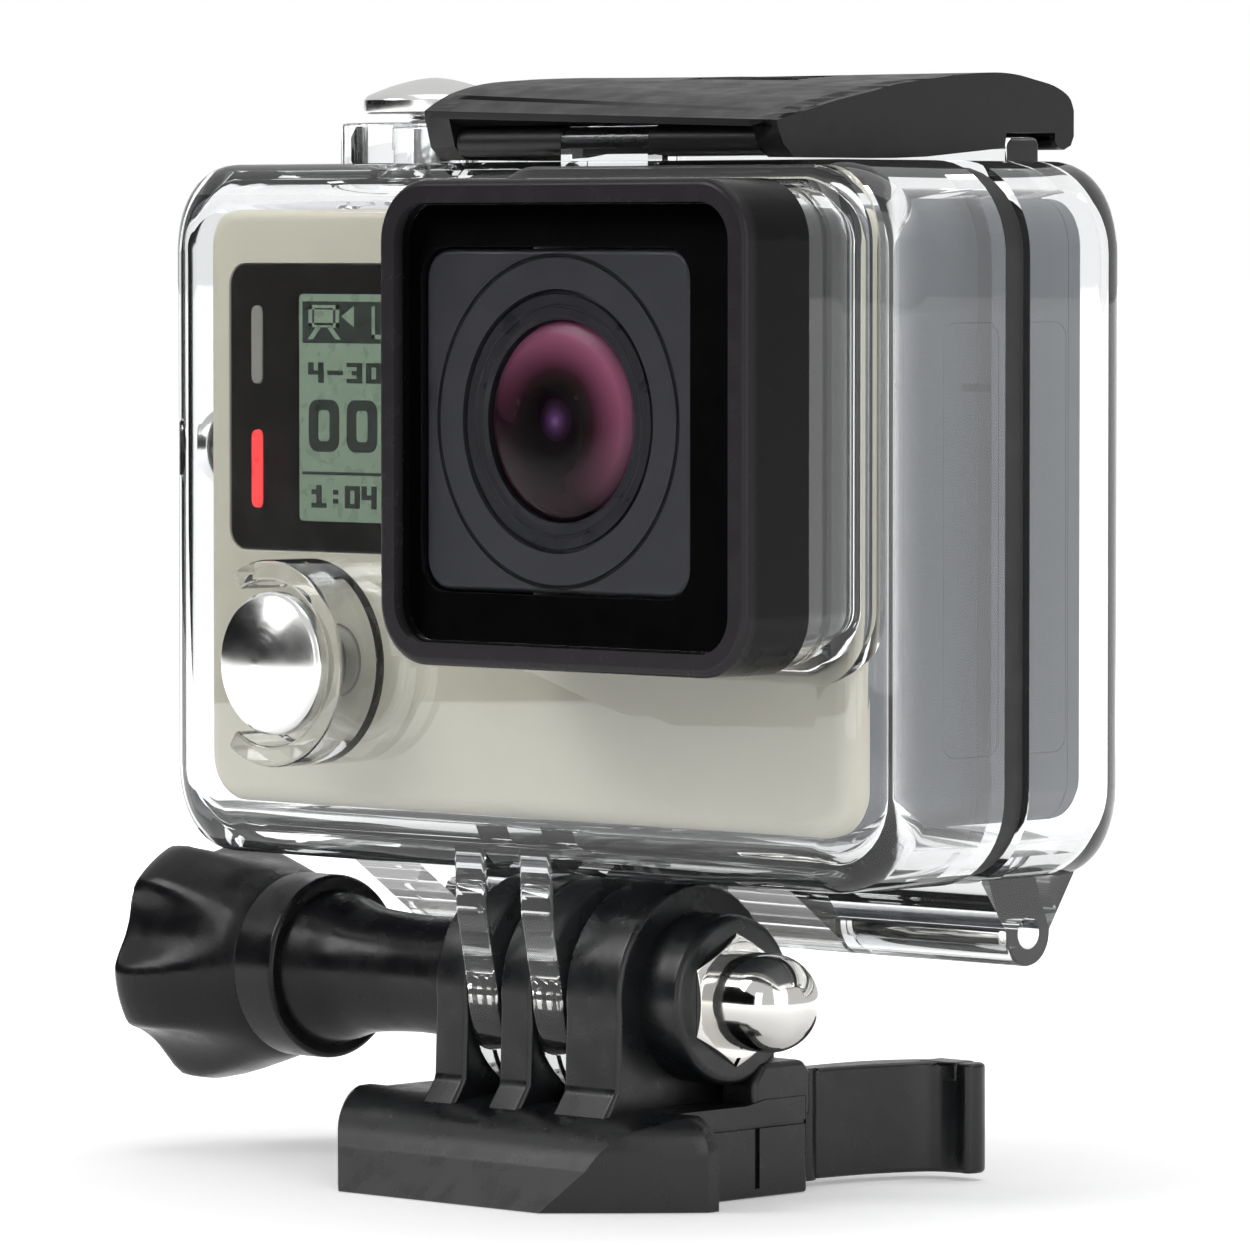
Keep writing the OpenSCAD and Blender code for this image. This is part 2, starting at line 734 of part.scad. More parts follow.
module status_panel() {
    color("#0c0c0e")
    difference() {
        slab(panel_x0 + gap, panel_x1 - gap, panel_z0 + gap, panel_z1 - gap, 1.4,
             cam_y0 + 0.1, cam_y0 + 0.6);
        slab(lcd_x0, lcd_x1, lcd_z0, lcd_z1, 0.4, cam_y0 - 1, cam_y0 + 0.4);
        for (z = [20.1, 28.5]) slab(led_x - led_w / 2, led_x + led_w / 2, cam_z0 + z,
                                    cam_z0 + z + led_h, 0.5, cam_y0 - 1, cam_y0 + 0.4);
    }
}

module status_lcd() {
    color("#6e806c") slab(lcd_x0 + gap, lcd_x1 - gap, lcd_z0 + gap, lcd_z1 - gap, 0.35,
                          cam_y0 + 0.15, cam_y0 + 0.4);
}

module led(z) {
    slab(led_x - led_w / 2 + gap, led_x + led_w / 2 - gap, cam_z0 + z + gap,
         cam_z0 + z + led_h - gap, 0.45, cam_y0 + 0.05, cam_y0 + 0.4);
}

module led_red() { color("#e02828") led(20.1); }
module led_grey() { color("#8a8a88") led(28.5); }

module lens_bezel() {
    color("#47484c")
    difference() {
        slab(lens_x - lens_w / 2, lens_x + lens_w / 2, lens_z - lens_h / 2, lens_z + lens_h / 2, 2,
             lens_y0, cam_y0);
        rod_y(lens_ring_r, lens_y0 - 1, cam_y0 + 1, lens_x, lens_z);
        ring_y(lens_disc_r + 0.15, lens_disc_r - 0.15, lens_y0 - 1, lens_y0 + 0.3, lens_x, lens_z);
    }
}

module lens_ring() {
    color("#2a2a2e")
    difference() {
        rod_y(lens_ring_r - gap, lens_y0 + 0.3, lens_y0 + 3, lens_x, lens_z);
        translate([lens_x, lens_y0 + 0.3, lens_z]) rotate([90, 0, 0]) rotate_extrude() polygon([
            [0, 1], [8, 1], [7.8, 0], [lens_glass_r + 0.1, -0.8], [lens_glass_r + 0.1, -4], [0, -4]]);
    }
}

module lens_barrel() {
    color("#161618")
    ring_y(lens_ring_r - gap, lens_glass_r - 0.4, lens_y0 + 3, cam_y0 + 6, lens_x, lens_z);
}

module lens_front_element() {
    color("#6a3148")
    translate([lens_x, lens_glass_y1, lens_z]) rotate([90, 0, 0]) rotate_extrude() union() {
        square([lens_glass_r, 1.2]);
        intersection() {
            translate([0, -9.2]) circle(r = 12.1);
            translate([0, 1.19]) square([lens_glass_r, 3]);
        }
    }
}

module lens_inner_elements() {
    color("#3d4a66") for (y = [0, 3.2]) rod_y(lens_glass_r - 0.45, lens_y0 + 5 + y,
                                              lens_y0 + 6.8 + y, lens_x, lens_z);
}

module lens_iris() {
    color("#0a0a0a") ring_y(lens_glass_r - 0.45, 1.6, lens_y0 + 3.6, lens_y0 + 4.6, lens_x, lens_z);
}

module image_sensor() {
    color("#24323e") slab(lens_x - 3.6, lens_x + 3.6, lens_z - 2.8, lens_z + 2.8, 0.2,
                          cam_y0 + 7, cam_y0 + 8);
}

module sensor_board() {
    color("#1d5a34") slab(lens_x - 8, lens_x + 8, lens_z - 8, lens_z + 8, 0.5,
                          cam_y0 + 8, cam_y0 + 8.8);
}

module main_board() {
    color("#1d5a34") slab(-26, 26, cam_z0 + 17, cam_z0 + 38, 1, cam_y0 + 12, cam_y0 + 13);
}

module heat_sink() {
    color("silver") slab(-24, 24, cam_z0 + 18, cam_z0 + 38, 1, cam_y0 + 13.2, cam_y0 + 13.8);
}

module battery() {
    color("#3a3a3e") block(-22, 10, cam_y0 + 4.2, cam_y0 + 11.8, cam_z0 + 2.4, cam_z0 + 16);
}

module battery_door() {
    color("#55575b") block(-24 + gap, 12 - gap, -2.6 + gap, 11.4 - gap, cam_z0, cam_z0 + skin);
}

module side_door() {
    color("#5e6064")
    difference() {
        block(cam_x - skin, cam_x, 0.5 + gap, 12.5 - gap, cam_z0 + 5 + gap, cam_z0 + 33 - gap);
        // nail slot
        block(cam_x - 0.5, cam_x + 1, 2.5, 7.5, cam_z0 + 28.6, cam_z0 + 29.1);
    }
}

module memory_card() {
    color("#2c2c30") block(13, 25.5, 4, 5, cam_z0 + 4, cam_z0 + 15);
}

module port_sockets() {
    color("silver") {
        block(22.5, 27.5, 7, 11.8, cam_z0 + 6, cam_z0 + 15);
        block(22.4, 27.5, 1.5, 5, cam_z0 + 19, cam_z0 + 28);
    }
}

module speaker() {
    color("#222226") rod_y(3.5, cam_y0 + 2, cam_y0 + 4, -24, cam_z0 + 6);
}

module microphone() {
    color("#222226") rod_y(1.5, cam_y0 + 2, cam_y0 + 3.4, 4.5, cam_z0 + 37);
}

module camera_screws() {
    color("silver") for (x = [-cam_x + screw_inset, cam_x - screw_inset],
                         z = [cam_z0 + screw_inset, cam_z1 - screw_inset])
        rod_y(screw_r, cam_y0 + cover_t + gap, cam_y1 - cover_t - gap, x, z);
}

module key(travel_end) {
    cylinder(r = 2.5, h = 1.6);
    translate([0, 0, -travel_end]) cylinder(r = 1, h = travel_end + eps);
}

module camera_power_button() {
    color("#9a988c") translate([power_x, cam_y0 + 1.4, power_z]) rotate([90, 0, 0]) key(0.4);
}

module camera_shutter_button() {
    color("#c23030") translate([shutter_x, shutter_y, cam_z1 - 1.4]) key(0.4);
}

module camera_side_button() {
    color("#9a988c") translate([-cam_x + 1.4, side_y, side_z]) rotate([0, -90, 0]) key(0.4);
}

buckle_base();
buckle_arm_left();
buckle_arm_right();
acorn_nut();
thumb_knob();
thumb_bolt();
housing_front_shell();
lens_port_frame();
lens_window();
lens_window_seal();
hinge_pin();
latch_hinge_pin();
button_seals();
power_button_cap();
power_button_spring();
shutter_button_cap();
shutter_button_spring();
side_button_cap();
side_button_spring();
back_door();
door_gasket();
latch_arm();
latch_cover_pin();
latch_cover();
latch_lock();
latch_lock_spring();
camera_front_cover();
camera_body_shell();
camera_back_cover();
rear_screen();
status_panel();
status_lcd();
led_red();
led_grey();
lens_bezel();
lens_ring();
lens_barrel();
lens_front_element();
lens_inner_elements();
lens_iris();
image_sensor();
sensor_board();
main_board();
heat_sink();
battery();
battery_door();
side_door();
memory_card();
port_sockets();
speaker();
microphone();
camera_screws();
camera_power_button();
camera_shutter_button();
camera_side_button();
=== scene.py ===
import json
import math

import bmesh
import bpy
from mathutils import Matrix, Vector


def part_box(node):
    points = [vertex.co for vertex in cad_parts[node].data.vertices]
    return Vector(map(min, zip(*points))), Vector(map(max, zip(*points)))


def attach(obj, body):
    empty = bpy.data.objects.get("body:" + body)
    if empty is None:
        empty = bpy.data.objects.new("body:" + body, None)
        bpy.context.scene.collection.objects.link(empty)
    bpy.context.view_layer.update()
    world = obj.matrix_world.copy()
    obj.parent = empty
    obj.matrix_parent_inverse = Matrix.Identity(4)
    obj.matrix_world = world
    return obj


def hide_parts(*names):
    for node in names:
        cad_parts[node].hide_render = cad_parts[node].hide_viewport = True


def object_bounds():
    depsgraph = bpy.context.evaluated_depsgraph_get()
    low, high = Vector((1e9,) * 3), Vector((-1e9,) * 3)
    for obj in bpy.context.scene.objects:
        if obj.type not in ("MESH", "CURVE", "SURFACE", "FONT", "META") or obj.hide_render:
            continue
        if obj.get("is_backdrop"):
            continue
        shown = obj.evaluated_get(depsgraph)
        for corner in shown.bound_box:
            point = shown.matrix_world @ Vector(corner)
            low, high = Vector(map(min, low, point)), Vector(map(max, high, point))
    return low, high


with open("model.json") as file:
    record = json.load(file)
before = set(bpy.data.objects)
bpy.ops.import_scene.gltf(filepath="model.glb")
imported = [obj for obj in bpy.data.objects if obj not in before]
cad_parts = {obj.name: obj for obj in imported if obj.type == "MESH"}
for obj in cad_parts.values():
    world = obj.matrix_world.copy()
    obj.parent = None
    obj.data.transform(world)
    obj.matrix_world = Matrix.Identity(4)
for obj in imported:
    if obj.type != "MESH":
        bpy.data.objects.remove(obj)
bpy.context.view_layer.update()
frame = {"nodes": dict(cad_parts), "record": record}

# Everything below is in millimetres in the CAD frame and goes to metres in make().
MM = 0.001
scene = bpy.context.scene


def box(node):
    lo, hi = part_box(node)
    return [c / MM for c in lo], [c / MM for c in hi]


# ---------------------------------------------------------------- places, all from the CAD
GASKET0, GASKET1 = box("door_gasket")
CASE_X = GASKET1[0] + 0.4
CASE_Z0, CASE_Z1 = GASKET0[2] - 0.4, GASKET1[2] + 0.4
RIM_Y, DOOR_Y = GASKET0[1] - 0.2, GASKET1[1]
CAM0, CAM1 = box("camera_front_cover")
CAM_X, CAM_Y0, CAM_Z0, CAM_Z1 = CAM1[0], CAM0[1], CAM0[2], CAM1[2]
CAM_Y1 = box("camera_back_cover")[1][1]
CASE_Y0 = CAM_Y0 - 2.4
CASE_Y1 = box("back_door")[1][1]
PORT0, PORT1 = box("lens_port_frame")
WIN0, WIN1 = box("lens_window")
BEZEL0, BEZEL1 = box("lens_bezel")
LENS_X, LENS_Z = (BEZEL0[0] + BEZEL1[0]) / 2, (BEZEL0[2] + BEZEL1[2]) / 2
PIN0, PIN1 = box("hinge_pin")
HINGE_Y, HINGE_Z = (PIN0[1] + PIN1[1]) / 2, (PIN0[2] + PIN1[2]) / 2
JOINTS = {j["name"]: j for j in frame["record"]["behaviour"]["joints"]}
TILT_Z = JOINTS["housing_tilt"]["pos_m"][2] / MM
ARM_A = [c / MM for c in JOINTS["latch_arm_swing"]["pos_m"]]
ARM_B = [c / MM for c in JOINTS["latch_cover_swing"]["pos_m"]]
COVER0, COVER1 = box("latch_cover")
LATCH_X = (COVER0[0] + COVER1[0]) / 2
FORK_HALF = (box("latch_arm")[1][0] - box("latch_arm")[0][0]) / 2
ARM_HALF, LUG_HALF = FORK_HALF - 3.5, 3.9
KNOB_X0 = box("thumb_knob")[0][0]
NUT0, NUT1 = box("acorn_nut")
DOOR_KNUCKLES = ((-19.8, -8.0), (14.6, 29.2))
SHELL_KNUCKLES = ((-26.35, -19.95), (-7.85, 14.45))

# sizes that several pieces share
SIDE_WALL, FLOOR_WALL, ROOF_WALL = 2.3, 2.2, 2.0
FINGER_X, FINGER_R, FINGER_HALF = 3.0, 7.5, 1.45
BOLT_HOLE, STEM_HOLE, SEAL_SEAT, KEY_HOLE = 2.55, 1.05, 1.9, 2.6
PIVOT_X, PIVOT_Y = 10.4, 8.7
SKIRT = 2.25
COVER_DEPTH = 1.6
PLAY = 0.05


# ---------------------------------------------------------------- mesh tools
def at(axis, a, b, t):
    return {"x": (t, a, b), "y": (a, t, b), "z": (a, b, t)}[axis]


def arc(cx, cy, r, a0, a1, n=8):
    steps = [math.radians(a0 + (a1 - a0) * i / n) for i in range(n + 1)]
    return [(cx + r * math.cos(a), cy + r * math.sin(a)) for a in steps]


def round_rect(x0, x1, y0, y1, r, n=8):
    return (arc(x1 - r, y0 + r, r, -90, 0, n) + arc(x1 - r, y1 - r, r, 0, 90, n)
            + arc(x0 + r, y1 - r, r, 90, 180, n) + arc(x0 + r, y0 + r, r, 180, 270, n))


def smooth_line(points, n=6):
    """A Catmull-Rom curve through 2D points."""
    out = []
    for i in range(len(points) - 1):
        p = [points[max(i - 1, 0)], points[i], points[i + 1], points[min(i + 2, len(points) - 1)]]
        for k in range(n):
            t = k / n
            out.append(tuple(0.5 * (2 * p[1][c] + (p[2][c] - p[0][c]) * t
                                    + (2 * p[0][c] - 5 * p[1][c] + 4 * p[2][c] - p[3][c]) * t * t
                                    + (3 * p[1][c] - p[0][c] - 3 * p[2][c] + p[3][c]) * t ** 3)
                             for c in range(2)))
    return out + [tuple(points[-1])]


def loft(rings, loop=False):
    n, m = len(rings[0]), len(rings)
    faces = []
    for i in range(m if loop else m - 1):
        j = (i + 1) % m
        faces += [(i * n + k, i * n + (k + 1) % n, j * n + (k + 1) % n, j * n + k) for k in range(n)]
    if not loop:
        faces += [tuple(range(n)), tuple(range((m - 1) * n, m * n))]
    return [p for ring in rings for p in ring], faces


def slab(x0, x1, z0, z1, r, y0, y1, e0=0.0, e1=0.0, axis="y", n=8, s=5):
    """A slab with a round-cornered outline and rounded front and back edges."""
    rings = []
    for y, e, way in ((y0, e0, 1), (y1, e1, -1)):
        part = []
        for i in range(s + 1) if e else (s,):
            t = i / s * math.pi / 2
            d = e * (1 - math.sin(t))
            outline = round_rect(x0 + d, x1 - d, z0 + d, z1 - d, max(r - d, 0.04), n)
            part.append([at(axis, a, b, y + way * e * (1 - math.cos(t))) for a, b in outline])
        rings += part if way > 0 else part[::-1]
    return loft(rings)


def pane(lo, hi, grow, r, y0, y1, e0=0.0, e1=0.0, **more):
    """A slab along y with the front outline of a CAD box, grown on all four sides."""
    return slab(lo[0] - grow, hi[0] + grow, lo[2] - grow, hi[2] + grow, r, y0, y1, e0, e1, **more)


def prism(outline, axis, t0, t1):
    return loft([[at(axis, a, b, t) for a, b in outline] for t in (t0, t1)])


def lathe(profile, axis, a, b, n=64):
    """A closed profile of (place along the axis, radius) turned round the axis at (a, b)."""
    rings = []
    for i in range(n):
        w = 2 * math.pi * i / n
        rings.append([at(axis, a + r * math.cos(w), b + r * math.sin(w), t) for t, r in profile])
    return loft(rings, loop=True)


def make(name, *geos, weld=1e-7):
    mesh = bpy.data.meshes.new(name)
    bm = bmesh.new()
    for verts, faces in geos:
        made = [bm.verts.new([c * MM for c in v]) for v in verts]
        for f in faces:
            try:
                bm.faces.new([made[i] for i in f])
            except ValueError:
                pass
    bmesh.ops.remove_doubles(bm, verts=bm.verts, dist=weld)
    bmesh.ops.dissolve_degenerate(bm, edges=bm.edges, dist=weld)
    bmesh.ops.recalc_face_normals(bm, faces=bm.faces)
    bm.to_mesh(mesh)
    bm.free()
    obj = bpy.data.objects.new(name, mesh)
    scene.collection.objects.link(obj)
    return obj


def applied(obj):
    graph = bpy.context.evaluated_depsgraph_get()
    mesh = bpy.data.meshes.new_from_object(obj.evaluated_get(graph))
    obj.modifiers.clear()
    old, obj.data = obj.data, mesh
    bpy.data.meshes.remove(old)
    return obj


def bevelled(obj, width, segments=3, angle=32):
    m = obj.modifiers.new("edges", "BEVEL")
    m.width, m.segments, m.angle_limit = width * MM, segments, math.radians(angle)
    m.limit_method = "ANGLE"
    return applied(obj)


def combined(obj, others, operation):
    for other in others:
        m = obj.modifiers.new("join", "BOOLEAN")
        m.operation, m.object, m.solver = operation, other, "EXACT"
    applied(obj)
    for other in others:
        bpy.data.objects.remove(other)
    return obj


def joined(obj, *others):
    return combined(obj, others, "UNION")


def cut(obj, *others):
    return combined(obj, others, "DIFFERENCE")


def rod(axis, r, t0, t1, a, b, n=48):
    return make("rod", prism(arc(a, b, r, 0, 360 - 360 / n, n - 1), axis, t0, t1))


def done(obj, material, body, slot=None, *nodes, angle=38, smooth=True):
    mesh = obj.data
    if smooth:
        mesh.shade_smooth()
        mesh.set_sharp_from_angle(angle=math.radians(angle))
        m = obj.modifiers.new("flat faces", "WEIGHTED_NORMAL")
        m.keep_sharp, m.weight = True, 100
        applied(obj)
    obj.data.materials.clear()
    obj.data.materials.append(material)
    if nodes:
        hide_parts(*nodes)
    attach(obj, body)
    return obj


# ---------------------------------------------------------------- materials
def linear(r, g, b):
    return tuple(c / 12.92 if c <= 0.04045 else ((c + 0.055) / 1.055) ** 2.4
                 for c in (r / 255, g / 255, b / 255)) + (1.0,)


class Nodes:
    def __init__(self, name):
        self.material = bpy.data.materials.new(name)
        self.material.use_nodes = True
        self.tree = self.material.node_tree
        self.shader = self.tree.nodes["Principled BSDF"]
        self.out = self.tree.nodes["Material Output"]

    def add(self, kind, links=(), **values):
        node = self.tree.nodes.new(kind)
        for key, value in values.items():
            setattr(node, key, value)
        for socket, source in dict(links).items():
            if hasattr(source, "is_output"):
                self.tree.links.new(source, node.inputs[socket])
            else:
                node.inputs[socket].default_value = source
        return node

    def link(self, source, socket):
        self.tree.links.new(source, self.shader.inputs[socket])


def surface(name, colour, rough, metallic=0.0, colour_var=0.08, rough_var=0.08, scale=500.0,
            bump=0.0, bump_scale=3000.0, stretch=(1, 1, 1), coat=0.0, coat_rough=0.05,
            specular=0.5, transmission=0.0, ior=1.5, emission=None):
    """Principled surface whose colour, roughness and fine relief all vary with place."""
    n = Nodes(name)
    s = n.shader.inputs
    s["Metallic"].default_value = metallic
    s["Coat Weight"].default_value = coat
    s["Coat Roughness"].default_value = coat_rough
    s["Specular IOR Level"].default_value = specular
    s["Transmission Weight"].default_value = transmission
    s["IOR"].default_value = ior
    place = n.add("ShaderNodeTexCoord").outputs["Object"]
    where = n.add("ShaderNodeMapping", {"Vector": place, "Scale": stretch}).outputs["Vector"]
    wide = n.add("ShaderNodeTexNoise", {"Vector": where, "Scale": scale, "Detail": 4.0}).outputs[0]
    lo = [c * (1 - colour_var) for c in colour[:3]] + [1]
    hi = [min(c * (1 + colour_var), 1) for c in colour[:3]] + [1]
    mix = n.add("ShaderNodeMix", data_type="RGBA")
    mix.inputs[6].default_value, mix.inputs[7].default_value = lo, hi
    n.tree.links.new(wide, mix.inputs[0])
    n.link(mix.outputs[2], "Base Color")
    spread = n.add("ShaderNodeMapRange", {"Value": wide, "From Min": 0.3, "From Max": 0.7,
                                          "To Min": max(rough - rough_var, 0.0), "To Max": rough + rough_var})
    n.link(spread.outputs[0], "Roughness")
    if bump:
        fine = n.add("ShaderNodeTexNoise", {"Vector": where, "Scale": bump_scale, "Detail": 2.0}).outputs[0]
        relief = n.add("ShaderNodeBump", {"Height": fine, "Strength": bump, "Distance": 0.00004})
        n.link(relief.outputs[0], "Normal")
    if emission:
        s["Emission Color"].default_value = emission[0]
        s["Emission Strength"].default_value = emission[1]
    return n


def clear(name, colour, rough, ior, specular=0.5, clearness=0.994):
    """Clear plastic or glass that lets lamps through."""
    n = surface(name, colour, rough, transmission=clearness, ior=ior, colour_var=0.01, rough_var=rough * 0.6,
                scale=90.0, specular=specular)
    ray = n.add("ShaderNodeLightPath").outputs["Is Shadow Ray"]
    see = n.add("ShaderNodeBsdfTransparent", {"Color": colour})
    mix = n.add("ShaderNodeMixShader", {0: ray})
    n.tree.links.new(n.shader.outputs[0], mix.inputs[1])
    n.tree.links.new(see.outputs[0], mix.inputs[2])
    n.tree.links.new(mix.outputs[0], n.out.inputs["Surface"])
    return n.material


def port_frame_painted_rim_light():
    """Near black, with painted light: a paler painted highlight along its front rim and darker painted shade on its
    sides.
    """
    n = surface("port_frame_painted_rim_light", linear(13, 12, 14), 0.24, bump=0.06, bump_scale=4500, colour_var=0.2,
                specular=0.12)
    along = n.add("ShaderNodeSeparateXYZ", {0: n.add("ShaderNodeTexCoord").outputs["Object"]})
    depth = n.add("ShaderNodeMapRange", {"Value": along.outputs["Y"], "From Min": (PORT0[1] + 0.2) * MM,
                                         "From Max": (PORT0[1] + 1.2) * MM})
    # painted highlight on the front rim, fading to painted shade on the sides
    rim_highlight_side_shade = n.add("ShaderNodeValToRGB", {0: depth.outputs[0]})
    for stop, tone in zip(rim_highlight_side_shade.color_ramp.elements, ((38, 36, 38), (5, 5, 6))):
        stop.color = linear(*tone)
    n.link(rim_highlight_side_shade.outputs[0], "Base Color")
    return n.material


CLEAR = clear("clear_polycarbonate", (0.965, 0.975, 0.98, 1), 0.012, 1.49)
WINDOW = clear("window_glass", (0.97, 0.975, 0.98, 1), 0.004, 1.46, 0.12, 1.0)
BLACK = surface("satin_black_plastic", linear(17, 18, 20), 0.3, bump=0.12, bump_scale=5000,
                colour_var=0.2, specular=0.45).material
KNOB = surface("knob_black_plastic", linear(18, 18, 20), 0.26, bump=0.1, bump_scale=5200,
               colour_var=0.2, specular=0.25).material
LATCH = surface("latch_black_plastic", linear(18, 18, 20), 0.42, bump=0.25, bump_scale=6000,
                colour_var=0.2, specular=0.3).material
FRAME = port_frame_painted_rim_light()
MASK = surface("mask_black", linear(7, 7, 9), 0.5, bump=0.2, colour_var=0.2, specular=0.15).material
RUBBER = surface("seal_rubber", linear(16, 16, 17), 0.55, bump=0.35, bump_scale=2600,
                 colour_var=0.25).material
CHROME = surface("stainless_steel", (0.74, 0.73, 0.70, 1), 0.09, metallic=1, rough_var=0.05,
                 colour_var=0.05, scale=300).material
DARK_STEEL = surface("blackened_steel", (0.05, 0.05, 0.052, 1), 0.3, metallic=1, bump=0.1).material
SPRING = surface("spring_steel", (0.6, 0.6, 0.6, 1), 0.2, metallic=1).material
CREAM = surface("champagne_cover", linear(186, 182, 166), 0.42, metallic=0.1, specular=0.2, bump=0.25,
                bump_scale=9000, colour_var=0.025, rough_var=0.05).material
GREY = surface("grey_body_plastic", linear(84, 87, 92), 0.5, bump=0.3, bump_scale=7000, specular=0.15,
               colour_var=0.05).material
KEY = surface("button_plastic", linear(150, 148, 138), 0.4, bump=0.2).material
RED_KEY = surface("red_button_plastic", linear(170, 30, 28), 0.38, bump=0.2).material
PANEL = surface("panel_black", linear(12, 9, 6), 0.16, colour_var=0.2, specular=0.25).material
LCD = surface("lcd_green", linear(118, 136, 116), 0.3, colour_var=0.05, scale=900).material
LCD_INK = surface("lcd_ink", linear(18, 30, 20), 0.35, colour_var=0.15, scale=900).material
LED_RED = surface("led_red", linear(228, 52, 52), 0.3, colour_var=0.12, scale=700,
                  emission=(linear(255, 60, 60), 0.7)).material
LED_GREY = surface("led_grey", linear(126, 124, 118), 0.35, colour_var=0.08, scale=700).material
BEZEL = surface("lens_bezel_grey", linear(58, 58, 62), 0.38, metallic=0.35, specular=0.25, bump=0.2,
                bump_scale=8000, colour_var=0.05).material
RING = surface("lens_ring_grey", linear(44, 44, 48), 0.32, metallic=0.4, specular=0.25, bump=0.15,
               colour_var=0.06).material
BARREL = surface("lens_barrel_black", linear(9, 9, 10), 0.42, bump=0.2, colour_var=0.2).material
INNER = surface("inner_coating", linear(70, 44, 78), 0.06, coat=1.0, coat_rough=0.02, colour_var=0.3,
                scale=900).material
BOARD = surface("circuit_board", linear(24, 88, 50), 0.4, bump=0.4, colour_var=0.2).material
SILICON = surface("sensor_silicon", linear(40, 55, 70), 0.15, colour_var=0.3, scale=1500).material
ALU = surface("heat_sink_aluminium", (0.62, 0.62, 0.62, 1), 0.35, metallic=1, bump=0.15).material
WRAP = surface("battery_wrap", linear(60, 60, 64), 0.35, bump=0.15, colour_var=0.1).material
CARD = surface("card_plastic", linear(36, 36, 38), 0.45, bump=0.3, colour_var=0.15).material


def from_axis(n, axis, centre):
    """Each point as seen from the centre, and its distance from the axis through it."""
    place = n.add("ShaderNodeTexCoord").outputs["Object"]
    mask = [0 if i == "xyz".index(axis) else 1 for i in range(3)]
    shift = n.add("ShaderNodeVectorMath", {0: place, 1: [c * MM for c in centre]}, operation="SUBTRACT")
    flat = n.add("ShaderNodeVectorMath", {0: shift.outputs[0], 1: mask}, operation="MULTIPLY")
    far = n.add("ShaderNodeVectorMath", {0: flat.outputs[0]}, operation="LENGTH")
    return shift.outputs[0], far.outputs["Value"]


def turned_steel(name, axis, centre):
    """Steel with the fine rings and the spread highlight that turning on a lathe leaves."""
    n = surface(name, (0.80, 0.80, 0.79, 1), 0.2, metallic=1, rough_var=0.04, colour_var=0.03)
    far = from_axis(n, axis, centre)[1]
    rings = n.add("ShaderNodeCombineXYZ", {0: far}).outputs[0]
    fine = n.add("ShaderNodeTexNoise", {"Vector": rings, "Scale": 14000.0, "Detail": 3.0}).outputs[0]
    relief = n.add("ShaderNodeBump", {"Height": fine, "Strength": 0.35, "Distance": 0.00002})
    n.link(relief.outputs[0], "Normal")
    return n.material


def lens_coating_painted_light():
    """Coated glass: wine red that deepens towards the middle, in rings round the lens axis; the rings paint the
    coating's own colour together with a painted reflection.
    """
    n = surface("lens_coating_painted_light", linear(120, 50, 80), 0.2, specular=0.14, colour_var=0.1)
    shift, far = from_axis(n, "y", (LENS_X, 0, LENS_Z))
    turn = n.add("ShaderNodeMapRange", {"Value": far, "From Min": 0.0, "From Max": 0.0065})
    ramp = n.add("ShaderNodeValToRGB", {0: turn.outputs[0]})
    stops = ramp.color_ramp.elements
    stops[0].position, stops[0].color = 0.0, linear(150, 110, 165)
    stops[1].position, stops[1].color = 1.0, linear(88, 48, 66)
    for where, tone in ((0.07, (96, 60, 108)), (0.16, (52, 30, 50)), (0.26, (18, 10, 16)),
                        (0.4, (32, 26, 24)), (0.5, (48, 26, 34)), (0.62, (92, 48, 66)),
                        (0.85, (134, 76, 100))):
        stops.new(where).color = linear(*tone)
    # painted light and shade: the coating is painted palest towards the upper right, where light falls, and nearly
    # black at the lower left
    side = n.add("ShaderNodeVectorMath", {0: shift, 1: (0.6, 0, 0.8)}, operation="DOT_PRODUCT")
    shade = n.add("ShaderNodeMapRange", {"Value": side.outputs["Value"], "From Min": -0.003,
                                         "From Max": 0.005, "To Min": 0.06, "To Max": 1.0})
    tint = n.add("ShaderNodeVectorMath", {0: ramp.outputs[0], "Scale": shade.outputs[0]}, operation="SCALE")
    n.link(tint.outputs[0], "Base Color")
    return n.material


# ---------------------------------------------------------------- buckle
def fingers(x0, x1, r, z_low):
    outline = arc(0, TILT_Z, r, -8, 188, 22) + [(-7.6, z_low + 2.2), (-9.2, z_low), (8.0, z_low)]
    return bevelled(make("finger", prism(outline, "x", x0, x1)), 0.35)


def hexagon(r):
    return [(r * math.cos(math.radians(60 * i + 30)), TILT_Z + r * math.sin(math.radians(60 * i + 30)))
            for i in range(6)]


BUCKLE_TOP = 8.8
NOSE_Y, NOSE_Z, NOSE_R, NOSE_HALF = -5.9, 3.6, 2.6, 17.0
deck_side = [(-14.7, 0.0), (-12.7, 2.6)] + smooth_line([
    (-12.6, 2.75), (-11.9, 3.95), (-10.8, 4.9), (-9.0, 5.6), (-7.0, 6.0), (-5.6, 6.1)]) + [
    (0.5, 6.1), (2.4, 6.4), (8.0, 6.4), (8.0, 0.0)]
flank = [(9.25, -14.7), (13.4, -10.7), (NOSE_HALF, -6.9)]
other = [(-x, y) for x, y in flank[::-1]]
nose = [(-NOSE_HALF, NOSE_Y)] + smooth_line(other, 4) + smooth_line(flank, 4) + [(NOSE_HALF, NOSE_Y)]
rings = []
for z, inset in [(0, 0), (NOSE_Z, 0)] + [(NOSE_Z + b, NOSE_R - a) for a, b in arc(0, 0, NOSE_R, 10, 90, 8)]:
    scale = 1 - inset / NOSE_HALF
    rings.append([(x * scale, NOSE_Y + (y - NOSE_Y) * scale, z) for x, y in nose])
base = make("buckle_base_detail", loft(rings))
joined(base, bevelled(make("deck", prism([(-13.5, -6.2), (13.5, -6.2), (13.5, 6.3), (11.2, 8.0), (-11.2, 8.0),
                                          (-13.5, 6.3)], "z", 0, 9)), 0.2))
combined(base, [make("deck_side", prism(deck_side, "x", -20, 20))], "INTERSECT")
bevelled(base, 0.3, 3, 34)
